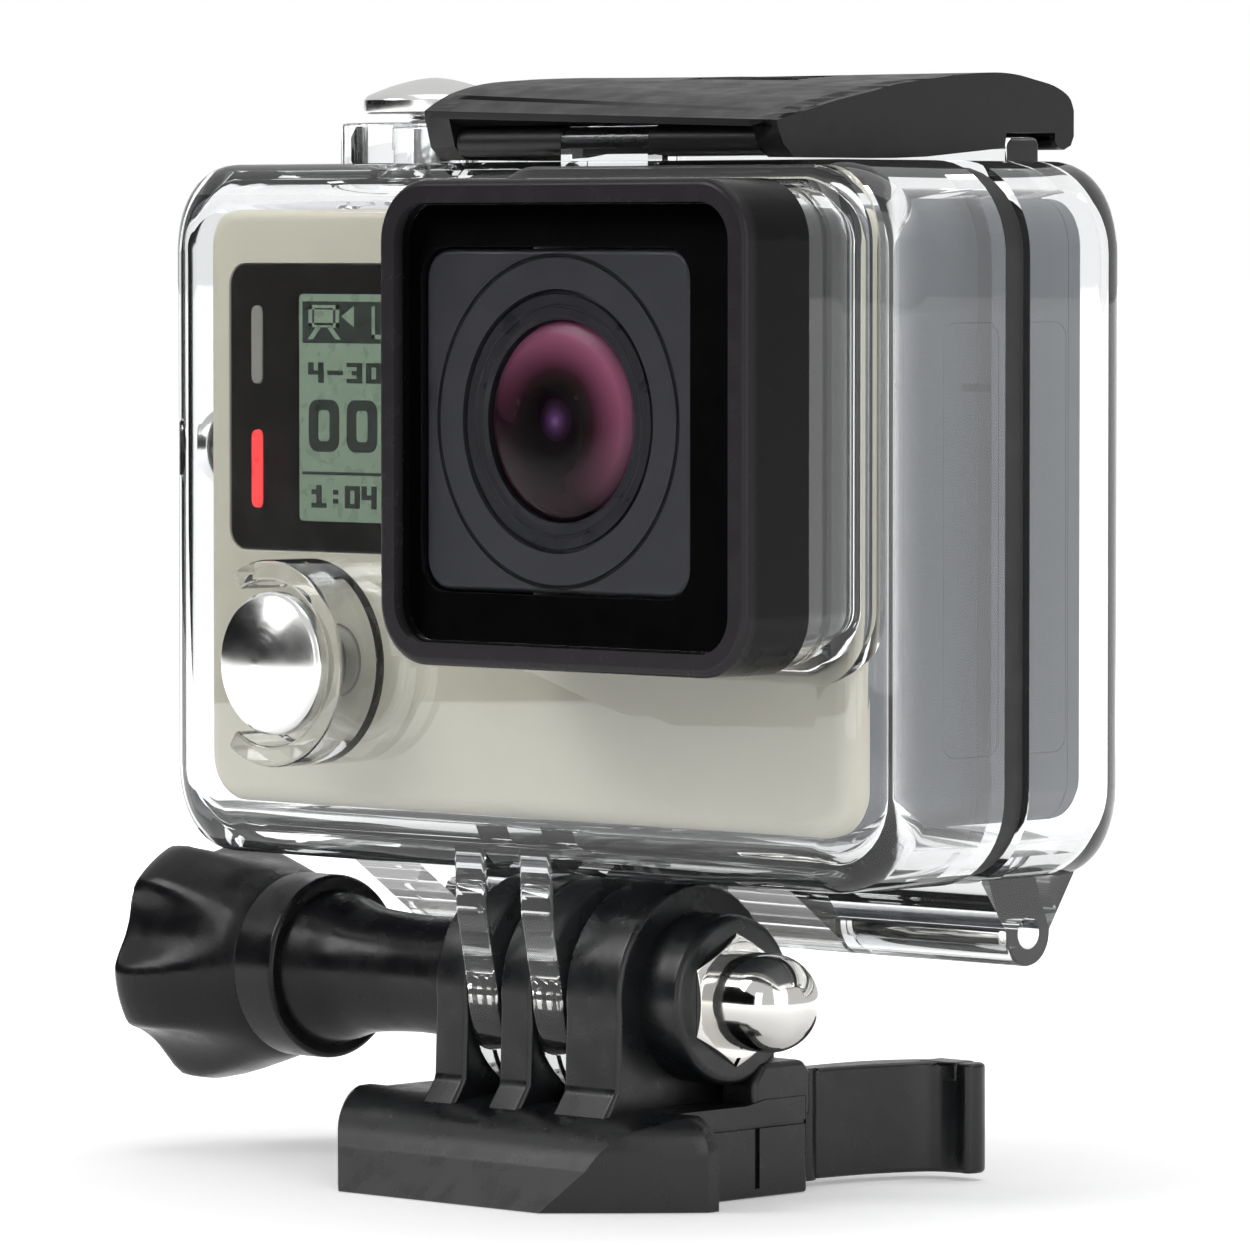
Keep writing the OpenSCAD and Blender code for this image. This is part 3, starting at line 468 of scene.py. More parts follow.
walls = [bevelled(make("wall", prism(
    [(1.4, 5.0), (1.4, 7.6), (2.4, BUCKLE_TOP), (6.2, BUCKLE_TOP), (7.0, 8.0), (7.0, 5.0)],
    "x", *sorted((side * 10.3, side * 13.35)))), 0.4) for side in (-1, 1)]
teeth = [fingers(x0, x1, FINGER_R, 5.0)
         for x0, x1 in ((-7.5, -4.55), (-FINGER_HALF, FINGER_HALF), (4.55, 9.5))]
boss = bevelled(rod("x", 5.6, 8.5, 13.0, 0, TILT_Z), 0.6, 4)
joined(base, *walls, *teeth, boss)
cuts = [rod("x", 7.9, x - 1.55, x + 1.55, 0, TILT_Z) for x in (-FINGER_X, FINGER_X)]
cuts.append(rod("x", BOLT_HOLE, -10, 11, 0, TILT_Z))
cuts.append(make("pocket", prism(hexagon(4.42), "x", 9.9, 15)))
cuts += [rod("z", 1.4, -1, 10, side * PIVOT_X, PIVOT_Y) for side in (-1, 1)]
# parting groove along both sides, and the shallow recesses that thin the moulding
for side in (-1, 1):
    cuts.append(make("groove", prism([(-5.2, 4.55), (6.4, 4.55), (6.4, 4.85), (-5.2, 4.85)], "x",
                                     *sorted((side * 13.25, side * 14)))))
    cuts.append(make("step", prism([(1.3, 4.55), (1.75, 4.55), (1.75, 0.6), (1.3, 0.6)], "x",
                                   *sorted((side * 13.2, side * 14)))))
cut(base, *cuts)
done(base, BLACK, "buckle", "black_buckle_plastic", "buckle_base")

for name, side in (("buckle_arm_left", -1), ("buckle_arm_right", 1)):
    blade = smooth_line([(9.5, 9.4), (9.9, 14.6), (11.5, 18.4), (13.5, 20.2)], 5)
    outer = smooth_line([(16.0, 18.5), (14.1, 17.7), (12.5, 14.2), (11.6, 9.4)], 5)
    tip = arc(16.1, 19.4, 1.2, 60, -60, 6)
    shape = blade + [(15.2, 20.4)] + tip + outer
    arm = make(name + "_detail", prism([(side * x, y) for x, y in shape], "z", 0.45, 7.85))
    bevelled(arm, 0.3)
    joined(arm, rod("z", 1.3, 0.4, 7.9, side * PIVOT_X, PIVOT_Y))
    pad = bevelled(make("pad", prism([(side * x, y) for x, y in (
        (12.9, 17.9), (16.0, 18.4), (16.0, 20.35), (12.9, 20.3))], "z", 6.6, 7.9)), 0.2)
    joined(arm, pad)
    done(arm, BLACK, name, "black_buckle_plastic", name)


# ---------------------------------------------------------------- thumb screw and nut
def flute(angle, limit):
    """Radius of the knob's five-lobed outline inside a limiting circle, with soft edges."""
    w = math.radians(((angle - 17 + 36) % 72) - 36)
    reach, tool, soft = 12.0, 5.0, 0.3
    inside = tool ** 2 - (reach * math.sin(w)) ** 2
    hollow = reach * math.cos(w) - math.sqrt(inside) if inside > 0 else 20
    return -soft * math.log(math.exp(-limit / soft) + math.exp(-hollow / soft))


# distance from the knob's outer end, and the radius that limits its lobes there
KNOB_LIMITS = ((0.45, 0.05), (0.45, 4.9), (0.25, 5.6), (0, 6.3), (0, 7.2), (0.12, 7.7), (0.4, 8.1),
               (0.9, 8.4), (1.6, 8.46), (2.6, 8.46), (4.2, 8.15), (6.0, 7.65), (7.8, 7.1), (9.2, 6.65), (10.3, 6.3),
               (10.6, 6.1))
knob_rings = []
for x, limit in KNOB_LIMITS:
    knob_rings.append([(KNOB_X0 + x, flute(a, limit) * math.cos(math.radians(a)),
                        TILT_Z + flute(a, limit) * math.sin(math.radians(a))) for a in range(0, 360, 3)])
knob = make("thumb_knob_detail", loft(knob_rings))
barrel = [(-29.5, 0.0), (-29.5, 5.9)] + arc(-27.9, 6.0, 0.3, 180, 90, 3) + [(-24.8, 6.3)]
barrel += arc(-24.8, 5.9, 0.4, 90, 0, 4) + smooth_line([
    (-24.4, 5.35), (-23.0, 4.95), (-20.6, 4.3), (-17, 4.02), (-14.3, 4.0), (-10, 4.2)])
barrel += [(-7.8, 4.3), (-7.55, 4.1), (-7.55, 0.0)]
joined(knob, make("barrel", lathe(barrel, "x", 0, TILT_Z, 72)))
cut(knob, rod("x", 2.5, -34, 0, 0, TILT_Z))
done(knob, KNOB, "thumb_screw", "black_knob_plastic", "thumb_knob", angle=50)

ACROSS_FLATS = 7.6
nut = make("acorn_nut_detail", prism(hexagon(ACROSS_FLATS / math.sqrt(3)), "x", NUT0[0], NUT0[0] + 3.5))
cone = make("cone", lathe([(NUT0[0] - 1, 0), (NUT0[0] - 1, 5.2), (NUT0[0] + 2.6, 5.2), (NUT0[0] + 3.6, 3.6),
                           (NUT0[0] + 3.6, 0)], "x", 0, TILT_Z))
combined(nut, [cone], "INTERSECT")
bevelled(nut, 0.12, 2)
dome_r = 3.25
dome = [(NUT0[0] + 2.6, 0), (NUT0[0] + 2.6, dome_r)] + [
    (NUT1[0] - dome_r + dome_r * math.sin(math.radians(a)), dome_r * math.cos(math.radians(a)))
    for a in range(0, 91, 6)]
joined(nut, make("dome", lathe(dome, "x", 0, TILT_Z)))
cut(nut, rod("x", BOLT_HOLE, NUT0[0] - 1, NUT1[0] - dome_r, 0, TILT_Z))
done(nut, CHROME, "buckle", "stainless_steel", "acorn_nut")
bolt0, bolt1 = box("thumb_bolt")
thread = [(bolt0[0], 0), (bolt0[0], 2.2), (bolt0[0] + 0.3, 2.48)]
x = bolt0[0] + 12
thread.append((x, 2.48))
while x < bolt1[0] - 1.2:
    thread += [(x + 0.1, 2.15), (x + 0.35, 2.15), (x + 0.45, 2.48), (x + 0.8, 2.48)]
    x += 0.8
thread += [(bolt1[0] - 0.3, 2.3), (bolt1[0], 2.0), (bolt1[0], 0)]
done(make("thumb_bolt_detail", lathe(thread, "x", 0, TILT_Z, 40)), CHROME, "thumb_screw",
     "stainless_steel", "thumb_bolt")


# ---------------------------------------------------------------- clear housing
def case_surface(y_open, y_end, way, ex=5.0, ez=3.0, r=6.0, s=8, n=12):
    """Closed form of one half of the case, from its open rim to its rounded end."""
    outline = round_rect(-CASE_X, CASE_X, CASE_Z0, CASE_Z1, r, n)
    count = len(outline)
    rings = [[at("y", a, b, y_open) for a, b in outline]]
    normals = []
    for i in range(count):
        corner, step = divmod(i, n + 1)
        w = math.radians(-90 + 90 * corner + 90 * step / n)
        normals.append((math.cos(w), math.sin(w)))
    for k in range(s + 1):
        t = math.pi / 2 * k / s
        ring = []
        for (a, b), (na, nb) in zip(outline, normals):
            e = math.hypot(ex * na, ez * nb)
            d = e * (1 - math.cos(t))
            ring.append(at("y", a - na * d, b - nb * d, y_end - way * e * (1 - math.sin(t))))
        rings.append(ring)
    return loft(rings)


def case_room(y0, y1, e0, e1):
    """Cutter for the space inside the case's side walls, floor and roof."""
    return make("room", slab(-CASE_X + SIDE_WALL, CASE_X - SIDE_WALL, CASE_Z0 + FLOOR_WALL,
                             CASE_Z1 - ROOF_WALL, 4, y0, y1, e0, e1))


def c_wall(cx, cy, ro, ri, gap_from, gap_to, axis, t0, t1):
    start, end = gap_to, gap_from + 360
    outline = arc(cx, cy, ro, start, end, 36) + arc(cx, cy, ri, end, start, 36)
    return bevelled(make("guard", prism(outline, axis, t0, t1)), 0.25, 2)


def knuckle(x0, x1, strap):
    round_end = rod("x", 2.2, x0, x1, HINGE_Y, HINGE_Z)
    return joined(bevelled(round_end, 0.2, 2), make("strap", prism(strap, "x", x0 + 0.02, x1 - 0.02)))


POWER0, POWER1 = box("power_button_cap")
POWER_X, POWER_Z = (POWER0[0] + POWER1[0]) / 2, (POWER0[2] + POWER1[2]) / 2
SHUT0, SHUT1 = box("shutter_button_cap")
SHUT_X, SHUT_Y = (SHUT0[0] + SHUT1[0]) / 2, (SHUT0[1] + SHUT1[1]) / 2
SIDE0, SIDE1 = box("side_button_cap")
SIDE_Y, SIDE_Z = (SIDE0[1] + SIDE1[1]) / 2, (SIDE0[2] + SIDE1[2]) / 2

shell = make("housing_shell_detail", case_surface(RIM_Y, CASE_Y0, -1))
# port tunnel with a fillet where it meets the front wall
tunnel = []
for y, grow in ((PORT1[1], -0.3), (PORT1[1] + 0.5, -0.3), (CASE_Y0 - 1.6, -0.3), (CASE_Y0 - 0.9, -0.15),
                (CASE_Y0 - 0.4, 0.2), (CASE_Y0, 0.9), (CASE_Y0 + 1.5, 0.9)):
    tunnel.append([at("y", a, b, y) for a, b in round_rect(
        PORT0[0] - grow, PORT1[0] + grow, PORT0[2] - grow, PORT1[2] + grow, 4 + grow, 10)])
parts = [make("tunnel", loft(tunnel))]
parts.append(c_wall(POWER_X, POWER_Z, 6.95, 5.55, 120, 235, "y", CASE_Y0 - 4, CASE_Y0 + 0.6))
parts.append(bevelled(rod("y", 2.9, box("power_button_spring")[1][1], CASE_Y0 + 1, POWER_X, POWER_Z), 0.2, 2))
parts.append(cut(c_wall(SHUT_X, SHUT_Y, 6.35, 4.95, 150, 210, "z", CASE_Z1 - 1, CASE_Z1 + 2.7),
                 make("trim", slab(-CASE_X, CASE_X, CASE_Z1 - 2, CASE_Z1 + 4, 0.1, RIM_Y - 0.02, RIM_Y + 9))))
parts.append(bevelled(rod("z", 2.9, CASE_Z1 - 1, box("shutter_button_spring")[0][2], SHUT_X, SHUT_Y), 0.2, 2))
parts.append(bevelled(rod("x", 2.9, box("side_button_spring")[1][0], -CASE_X + 1, SIDE_Y, SIDE_Z), 0.2, 2))
for x in (-FINGER_X, FINGER_X):
    outline = arc(0, TILT_Z, FINGER_R, 180, 360, 24) + [
        (7.9, CASE_Z0 - 0.1), (RIM_Y, CASE_Z0 - 0.1), (RIM_Y, CASE_Z0 + 1), (-8.9, CASE_Z0 + 4),
        (-8.6, TILT_Z + 5.6)]
    parts.append(bevelled(make("finger", prism(outline, "x", x - FINGER_HALF, x + FINGER_HALF)), 0.3, 2))
for x0, x1 in SHELL_KNUCKLES:
    parts.append(knuckle(x0, x1, [(1.5, CASE_Z0 + 0.5), (RIM_Y, CASE_Z0 + 0.5), (RIM_Y, CASE_Z0 - 0.5),
                                  (HINGE_Y, HINGE_Z + 1.9), (HINGE_Y - 1, HINGE_Z - 1.8)]))
outline = arc(ARM_A[1], ARM_A[2], 0.95, 0, 180, 10) + [(ARM_A[1] - 0.95, CASE_Z1 - 2.2),
                                                       (ARM_A[1] + 0.95, CASE_Z1 - 1)]
parts.append(make("lug", prism(outline, "x", LATCH_X - LUG_HALF, LATCH_X + LUG_HALF)))
joined(shell, *parts)
room = case_room(CASE_Y0 + 1.9, RIM_Y + 3, 1.6, 0)
hollow = make("hollow", pane(PORT0, PORT1, -1.6, 2.4, PORT1[1] - 1, CASE_Y0 + 2.4))
holes = [room, hollow, rod("x", BOLT_HOLE, -6, 6, 0, TILT_Z),
         rod("x", 1.0, PIN0[0] - 2, PIN1[0] + 2, HINGE_Y, HINGE_Z)]
holes += [rod("x", 2.6, a - 0.05, b + 0.05, HINGE_Y, HINGE_Z) for a, b in DOOR_KNUCKLES]
holes += [rod("y", STEM_HOLE, CASE_Y0 - 6, 0, POWER_X, POWER_Z),
          rod("z", STEM_HOLE, CASE_Z1 - 5, CASE_Z1 + 6, SHUT_X, SHUT_Y),
          rod("x", STEM_HOLE, -CASE_X - 6, -CASE_X + 4, SIDE_Y, SIDE_Z),
          rod("x", 0.5, COVER0[0] - 1, COVER1[0] + 1, ARM_A[1], ARM_A[2], 24),
          rod("y", SEAL_SEAT, CASE_Y0 + 0.2, CASE_Y0 + 1.2, POWER_X, POWER_Z),
          rod("z", SEAL_SEAT, CASE_Z1 - 1.2, CASE_Z1 - 0.2, SHUT_X, SHUT_Y),
          rod("x", SEAL_SEAT, -CASE_X + 0.2, -CASE_X + 1.2, SIDE_Y, SIDE_Z)]
cut(shell, *holes)
done(shell, CLEAR, "housing", "clear_polycarbonate", "housing_front_shell")

door = make("back_door_detail", case_surface(DOOR_Y, CASE_Y1, 1))
parts = [knuckle(a, b, [(DOOR_Y, CASE_Z0 + 0.5), (HINGE_Y - 2, HINGE_Z), (HINGE_Y + 2, HINGE_Z),
                        (CASE_Y1 - 2, CASE_Z0 + 0.8)]) for a, b in DOOR_KNUCKLES]
ridge = [(13.6, CASE_Z1 - 2), (13.6, CASE_Z1 + 1.1), (14.1, CASE_Z1 + 1.6), (16.5, CASE_Z1 + 1.6),
         (16.8, CASE_Z1 + 1.2), (16.8, CASE_Z1 - 1.9)]
parts.append(bevelled(make("ridge", prism(ridge, "x", COVER0[0] + 0.2, COVER1[0] - 0.2)), 0.15, 2))
joined(door, *parts)
holes = [case_room(DOOR_Y - 3, CASE_Y1 - 2.5, 0, 1.2),
         rod("x", 1.05, PIN0[0] - 2, PIN1[0] + 2, HINGE_Y, HINGE_Z),
         make("swing", slab(-28.8, 28.8, CASE_Z0 + 1.1, CASE_Z0 + 3.2, 0.2, DOOR_Y - 1, 8))]
holes += [rod("x", 2.6, a - 0.1, b + 0.1, HINGE_Y, HINGE_Z) for a, b in SHELL_KNUCKLES]
cut(door, *holes)
done(door, CLEAR, "back_door", "clear_polycarbonate", "back_door")

gasket = make("door_gasket_detail", pane(GASKET0, GASKET1, 0, 5.6, GASKET0[1], GASKET1[1], 0.35, 0.35))
cut(gasket, make("inside", pane(GASKET0, GASKET1, -0.8, 4.8, GASKET0[1] - 1, GASKET1[1] + 1)))
done(gasket, RUBBER, "housing", "seal_rubber", "door_gasket")

for name, r, y, z, material, slot in (
        ("hinge_pin", 1.0, HINGE_Y, HINGE_Z, CHROME, "stainless_steel"),
        ("latch_hinge_pin", 0.5, ARM_A[1], ARM_A[2], DARK_STEEL, "blackened_steel")):
    lo, hi = box(name)
    done(bevelled(rod("x", r, lo[0], hi[0], y, z), 0.15, 2), material, "housing", slot, name)

# port frame, window and mask
frame_ring = make("lens_port_frame_detail", pane(PORT0, PORT1, 0, 4, PORT0[1], PORT1[1], 0.55, 0.2, n=12,
                                                 s=6))
cut(frame_ring, make("inside", pane(WIN0, WIN1, 0, 2.5, PORT0[1] - 1, PORT1[1] + 1, n=12)))
done(frame_ring, FRAME, "housing", "black_frame_plastic", "lens_port_frame")
window = make("lens_window_detail", pane(WIN0, WIN1, 0, 2.5, WIN0[1], WIN1[1], 0.15, 0, n=12, s=2))
done(window, WINDOW, "housing", "window_glass", "lens_window")
SEAL0, SEAL1 = box("lens_window_seal")
mask = make("lens_window_mask_detail", pane(SEAL0, SEAL1, 0, 2.5, SEAL0[1], PORT1[1], n=12))
joined(mask, make("shroud", pane(PORT0, PORT1, -1.65, 2.35, PORT1[1] - 1, SEAL1[1], n=12)))
cut(mask, make("a", pane(PORT0, PORT1, -2.7, 1.3, SEAL0[1] + 0.8, SEAL1[1] + 1, n=12)),
    make("b", pane(BEZEL0, BEZEL1, 0.12, 2.1, SEAL0[1] - 1, PORT1[1])))
bevelled(mask, 0.12, 2)
done(mask, MASK, "housing", "seal_rubber", "lens_window_seal")

# push buttons: turned caps with a shallow cone, real coils under them
for word, axis, a, b, face, way, body in (
        ("power", "y", POWER_X, POWER_Z, POWER0[1], 1, "power_button"),
        ("shutter", "z", SHUT_X, SHUT_Y, SHUT1[2], -1, "shutter_button"),
        ("side", "x", SIDE_Y, SIDE_Z, SIDE0[0], 1, "side_button")):
    lo, hi = box(word + "_button_cap")
    i = "xyz".index(axis)
    end = hi[i] if way > 0 else lo[i]
    cap_r = (hi[(i + 1) % 3] - lo[(i + 1) % 3]) / 2
    back_at = abs(box(word + "_button_spring")[0 if way > 0 else 1][i] - face)
    dome = back_at - 1.12
    profile = [(0.0, 0.0)] + smooth_line([(dome * p, cap_r * q) for p, q in (
        (0.01, 0.04), (0.1, 0.25), (0.36, 0.55), (0.7, 0.82), (0.9, 0.95))], 4)
    profile += arc(dome + 0.22, cap_r - 0.2, 0.2, 130, 90, 3)
    profile += arc(back_at - 0.22, cap_r - 0.2, 0.2, 90, 0, 3)
    profile += [(back_at, 1.9), (back_at - 0.12, 1.5), (back_at, 1.0)]
    profile = [(face + way * p, q) for p, q in profile] + [(end - way * 0.15, 1.0), (end, 0.85), (end, 0.0)]
    cap = make(word + "_cap_detail", lathe(profile, axis, a, b, 96))
    centre = {"y": (a, 0, b), "z": (a, b, 0), "x": (0, a, b)}[axis]
    done(cap, turned_steel("turned_steel_" + word, axis, centre), body, "button_steel", word + "_button_cap",
         angle=50)
    # coil
    lo, hi = box(word + "_button_spring")
    turns, wire, mid_r = 1.6, 0.12, 1.62
    first, last = lo[i] + wire + 0.01, hi[i] - wire - 0.01
    rings = []
    for k in range(61):
        w = 2 * math.pi * turns * k / 60
        t = first + (last - first) * k / 60
        ring = []
        for q in range(8):
            v = 2 * math.pi * q / 8
            r = mid_r + wire * math.cos(v)
            ring.append(at(axis, a + r * math.cos(w), b + r * math.sin(w), t + wire * math.sin(v)))
        rings.append(ring)
    coil = make(word + "_spring_detail", loft(rings))
    done(coil, SPRING, "housing", "spring_steel", word + "_button_spring")

# ---------------------------------------------------------------- latch
LEFT = ((-8.75, 2.9), (-8.8, 3.4), (-6.5, 4.5), (-3.2, 5.25), (0.6, 5.55), (2.5, 5.65), (6.3, 5.78),
        (9.3, 5.8))
RIGHT = ((-8.75, 2.05), (-8.8, 2.5), (-6, 3.15), (-3.2, 3.8), (0.6, 4.5), (2.5, 4.9), (6.3, 5.35),
         (9.3, 5.65))
BOTH = ((12.2, 5.8), (14.3, 5.7), (16.1, 5.4), (18.1, 5.0), (19.6, 4.3), (20.1, 3.4))
CLAW = ((20.1, 1.7), (19.8, 1.1), (19.1, 0.8), (18.5, 0.95), (18.2, 1.4))


def section(x, under):
    """Cover's outline at x: its lip is higher and fuller towards the left end."""
    t = (x - COVER0[0]) / (COVER1[0] - COVER0[0])
    top = [tuple(a + (b - a) * t for a, b in zip(p, q)) for p, q in zip(LEFT, RIGHT)] + list(BOTH)
    outline = top[:1] + smooth_line(top[1:], 4) + list(CLAW) + under
    return [(x, y, CASE_Z1 + min(z, 5.8)) for y, z in outline]


under = [(18.2, 2.9), (17.4, 3.7), (12, 4.15), (6, 4.15), (2.5, 4.0), (-3.2, 3.05), (-7.6, 2.35)]
ends = [(18.2, 1.9), (13.35, 1.9), (13.2, 0.9), (12.2, 0.8), (5.4, 0.25), (2.5, 0.15), (-7.2, 0.15),
        (-8.2, 1.0)]
cover = make("latch_cover_detail", loft([section(x, under) for x in (COVER0[0] + 0.5, COVER1[0] - 0.5)]))
skirts = [make("end", loft([section(x, ends) for x in (x0, x0 + SKIRT)]))
          for x0 in (COVER0[0], COVER1[0] - SKIRT)]
joined(cover, *skirts)
bevelled(cover, 0.32, 3, 40)
lugs = []
for side in (-1, 1):
    x0, x1 = sorted((LATCH_X + side * (ARM_HALF + 0.05), LATCH_X + side * (ARM_HALF + 3.05)))
    outline = arc(ARM_B[1], ARM_B[2], 1.5, 180, 360, 16) + [(ARM_B[1] + 1.5, CASE_Z1 + 4.4),
                                                            (ARM_B[1] - 1.5, CASE_Z1 + 4.4)]
    lugs.append(make("lug", prism(outline, "x", x0, x1)))
joined(cover, *lugs)
LOCK0, LOCK1 = box("latch_lock")
cut(cover, rod("x", 0.8, COVER0[0] + SKIRT, COVER1[0] - SKIRT, ARM_B[1], ARM_B[2], 32),
    make("pocket", slab(LOCK0[0] - PLAY, LOCK1[0] + PLAY, LOCK0[1] - PLAY, LOCK1[1] + 2.05, 0.3,
                        LOCK0[2] - PLAY, CASE_Z1 + 7, axis="z")))
done(cover, LATCH, "latch_cover", "black_latch_plastic", "latch_cover", angle=30)

lock = make("latch_lock_detail", slab(LOCK0[0], LOCK1[0], LOCK0[1], LOCK1[1], 0.5, LOCK0[2], CASE_Z1 + 5.3,
                                      0, 0.15, axis="z", s=3))
ribs = [make("rib", slab(LOCK0[0] + 1, LOCK1[0] - 1, LOCK0[1] + 0.6 + 1.5 * k, LOCK0[1] + 1.2 + 1.5 * k, 0.25,
                         CASE_Z1 + 5.1, LOCK1[2], 0, 0.12, axis="z", s=3)) for k in range(3)]
joined(lock, *ribs)
done(lock, LATCH, "latch_lock", "black_latch_plastic", "latch_lock")


def link(x_half, *outlines):
    return [make("link", prism(o, "x", LATCH_X - x_half, LATCH_X + x_half)) for o in outlines]


front_line = arc(ARM_A[1], ARM_A[2], 0.95, 90, 270, 12) + [(1, CASE_Z1 + 0.8), (1, CASE_Z1 + 2.8)]
rear_line = [(0, CASE_Z1 + 2.8), (0, CASE_Z1 + 0.8)] + arc(ARM_B[1], ARM_B[2], 1.5, -125, 125, 14)
arm, rear = link(FORK_HALF, front_line) + link(ARM_HALF, rear_line)
arm.name = "latch_arm_detail"
joined(arm, rear)
cut(arm, make("slot", slab(LATCH_X - LUG_HALF - PLAY, LATCH_X + LUG_HALF + PLAY, CASE_Z1 - 1, CASE_Z1 + 5,
                           0.1, -12, ARM_A[1] + 1.55)))
bevelled(arm, 0.15, 2, 40)
cut(arm, rod("x", 0.55, -20, 40, ARM_A[1], ARM_A[2], 24), rod("x", 0.75, -20, 40, ARM_B[1], ARM_B[2], 24))
done(arm, LATCH, "latch_arm", "black_latch_plastic", "latch_arm")
lo, hi = box("latch_cover_pin")
done(bevelled(rod("x", 0.75, lo[0], hi[0], ARM_B[1], ARM_B[2], 32), 0.1, 2), DARK_STEEL, "latch_arm",
     "blackened_steel", "latch_cover_pin")

# ---------------------------------------------------------------- camera
CORNER = 3.2


def cam_slab(y0, y1, e0, e1, grow=0.0):
    return slab(-CAM_X - grow, CAM_X + grow, CAM_Z0 - grow, CAM_Z1 + grow, CORNER, y0, y1, e0, e1, n=10)


PAN0, PAN1 = box("status_panel")
front = make("camera_front_cover_detail", cam_slab(CAM_Y0, CAM_Y0 + COVER_DEPTH, 1.5, 0))
cut(front, make("a", slab(BEZEL0[0] + 0.8, BEZEL1[0] - 0.8, BEZEL0[2] + 0.6, BEZEL1[2] - 0.6, 2,
                          CAM_Y0 - 1, CAM_Y0 + 3)),
    make("b", pane(PAN0, PAN1, PLAY, 1.5, CAM_Y0 - 1, CAM_Y0 + 0.62)),
    rod("y", KEY_HOLE, CAM_Y0 - 1, CAM_Y0 + 3, POWER_X, POWER_Z))
bevelled(front, 0.1, 2, 50)
done(front, CREAM, "housing", "champagne_cover", "camera_front_cover")

body = make("camera_body_detail", cam_slab(CAM_Y0 + COVER_DEPTH, CAM_Y1 - COVER_DEPTH, 0.12, 0.12))
DOOR0, DOOR1 = box("side_door")
BATT0, BATT1 = box("battery_door")
cut(body, make("a", cam_slab(CAM_Y0, CAM_Y1, 0, 0, -1.2)),
    make("b", slab(DOOR0[1] - 0.03, DOOR1[1] + 0.03, DOOR0[2] - 0.03, DOOR1[2] + 0.03, 1.13,
                   CAM_X - 3, CAM_X + 1, axis="x")),
    make("c", slab(BATT0[0] - 0.1, BATT1[0] + 0.1, BATT0[1] - 0.1, BATT1[1] + 0.1, 1, CAM_Z0 - 1, CAM_Z0 + 2,
                   axis="z")),
    rod("z", KEY_HOLE, CAM_Z1 - 3, CAM_Z1 + 1, SHUT_X, SHUT_Y),
    rod("x", KEY_HOLE, -CAM_X - 1, -CAM_X + 3, SIDE_Y, SIDE_Z))
done(body, GREY, "housing", "grey_body_plastic", "camera_body_shell")

side_door = make("side_door_detail", slab(DOOR0[1], DOOR1[1], DOOR0[2], DOOR1[2], 1.1, DOOR0[0], DOOR1[0],
                                          0, 0.05, axis="x", s=3))
cut(side_door, make("nail", slab(2.3, 7.6, DOOR1[2] - 4.4, DOOR1[2] - 3.9, 0.2, DOOR1[0] - 0.45, DOOR1[0] + 1,
                                 axis="x")))
done(side_door, GREY, "housing", "grey_body_plastic", "side_door")
batt_door = make("battery_door_detail", slab(BATT0[0], BATT1[0], BATT0[1], BATT1[1], 0.9, BATT0[2], BATT1[2],
                                             0.15, 0, axis="z", s=3))
cut(batt_door, make("nail", slab(-10, -2, 0.5, 1.3, 0.3, BATT0[2] - 1, BATT0[2] + 0.35, axis="z")))
done(batt_door, GREY, "housing", "grey_body_plastic", "battery_door")

SCR0, SCR1 = box("rear_screen")
back = make("camera_back_cover_detail", cam_slab(CAM_Y1 - COVER_DEPTH, CAM_Y1, 0, 0.75))
cut(back, make("a", pane(SCR0, SCR1, PLAY, 0.6, SCR0[1] - PLAY, CAM_Y1 + 1)))
done(back, GREY, "housing", "grey_body_plastic", "camera_back_cover")
done(make("rear_screen_detail", pane(SCR0, SCR1, 0, 0.5, SCR0[1], SCR1[1], 0, 0.12, s=2)), PANEL, "housing",
     "panel_black", "rear_screen")

panel = make("status_panel_detail", pane(PAN0, PAN1, 0, 1.4, PAN0[1], PAN1[1], 0.08, 0, s=2))
LCD0, LCD1 = box("status_lcd")
holes = [make("lcd", pane(LCD0, LCD1, PLAY, 0.4, PAN0[1] - 1, LCD1[1]))]
for name, material in (("led_red", LED_RED), ("led_grey", LED_GREY)):
    lo, hi = box(name)
    holes.append(make("led", pane(lo, hi, PLAY, 0.5, PAN0[1] - 1, hi[1])))
    done(make(name + "_detail", pane(lo, hi, 0, 0.5, lo[1], hi[1], 0.12, 0, s=3)), material, "housing", name,
         name)
cut(panel, *holes)
done(panel, PANEL, "housing", "panel_black", "status_panel")
lcd = make("status_lcd_detail", pane(LCD0, LCD1, 0, 0.35, LCD0[1], LCD1[1], 0.04, 0, s=2))
done(lcd, LCD, "housing", "lcd_green", "status_lcd")

# The screen's picture: plain digits, bars and a small camera sign, as thin raised plates.
PATTERNS = {"0": "111101101101111", "1": "010110010010111", "3": "111001011001111", "4": "101101111001001",
            "6": "111100111101111", "-": "000000111000000", ":": "000010000010000"}
FACE = LCD0[1]


def plate(x0, x1, z0, z1, lift=0.03, r=0.02):
    """A thin plate on the screen's face, placed from the screen's top left corner."""
    return slab(LCD0[0] + x0, LCD0[0] + x1, LCD1[2] - z1, LCD1[2] - z0, r, FACE - lift, FACE + 0.02, n=2)


def digits(word, x, z, w, h, pitch):
    plates = []
    for k, sign in enumerate(word):
        for i, lit in enumerate(PATTERNS[sign]):
            if lit == "1":
                col, row = i % 3, i // 3
                plates.append(plate(x + pitch * k + w / 3 * col, x + pitch * k + w / 3 * (col + 1) + 0.02,
                                    z + h / 5 * row, z + h / 5 * (row + 1) + 0.02))
    return plates


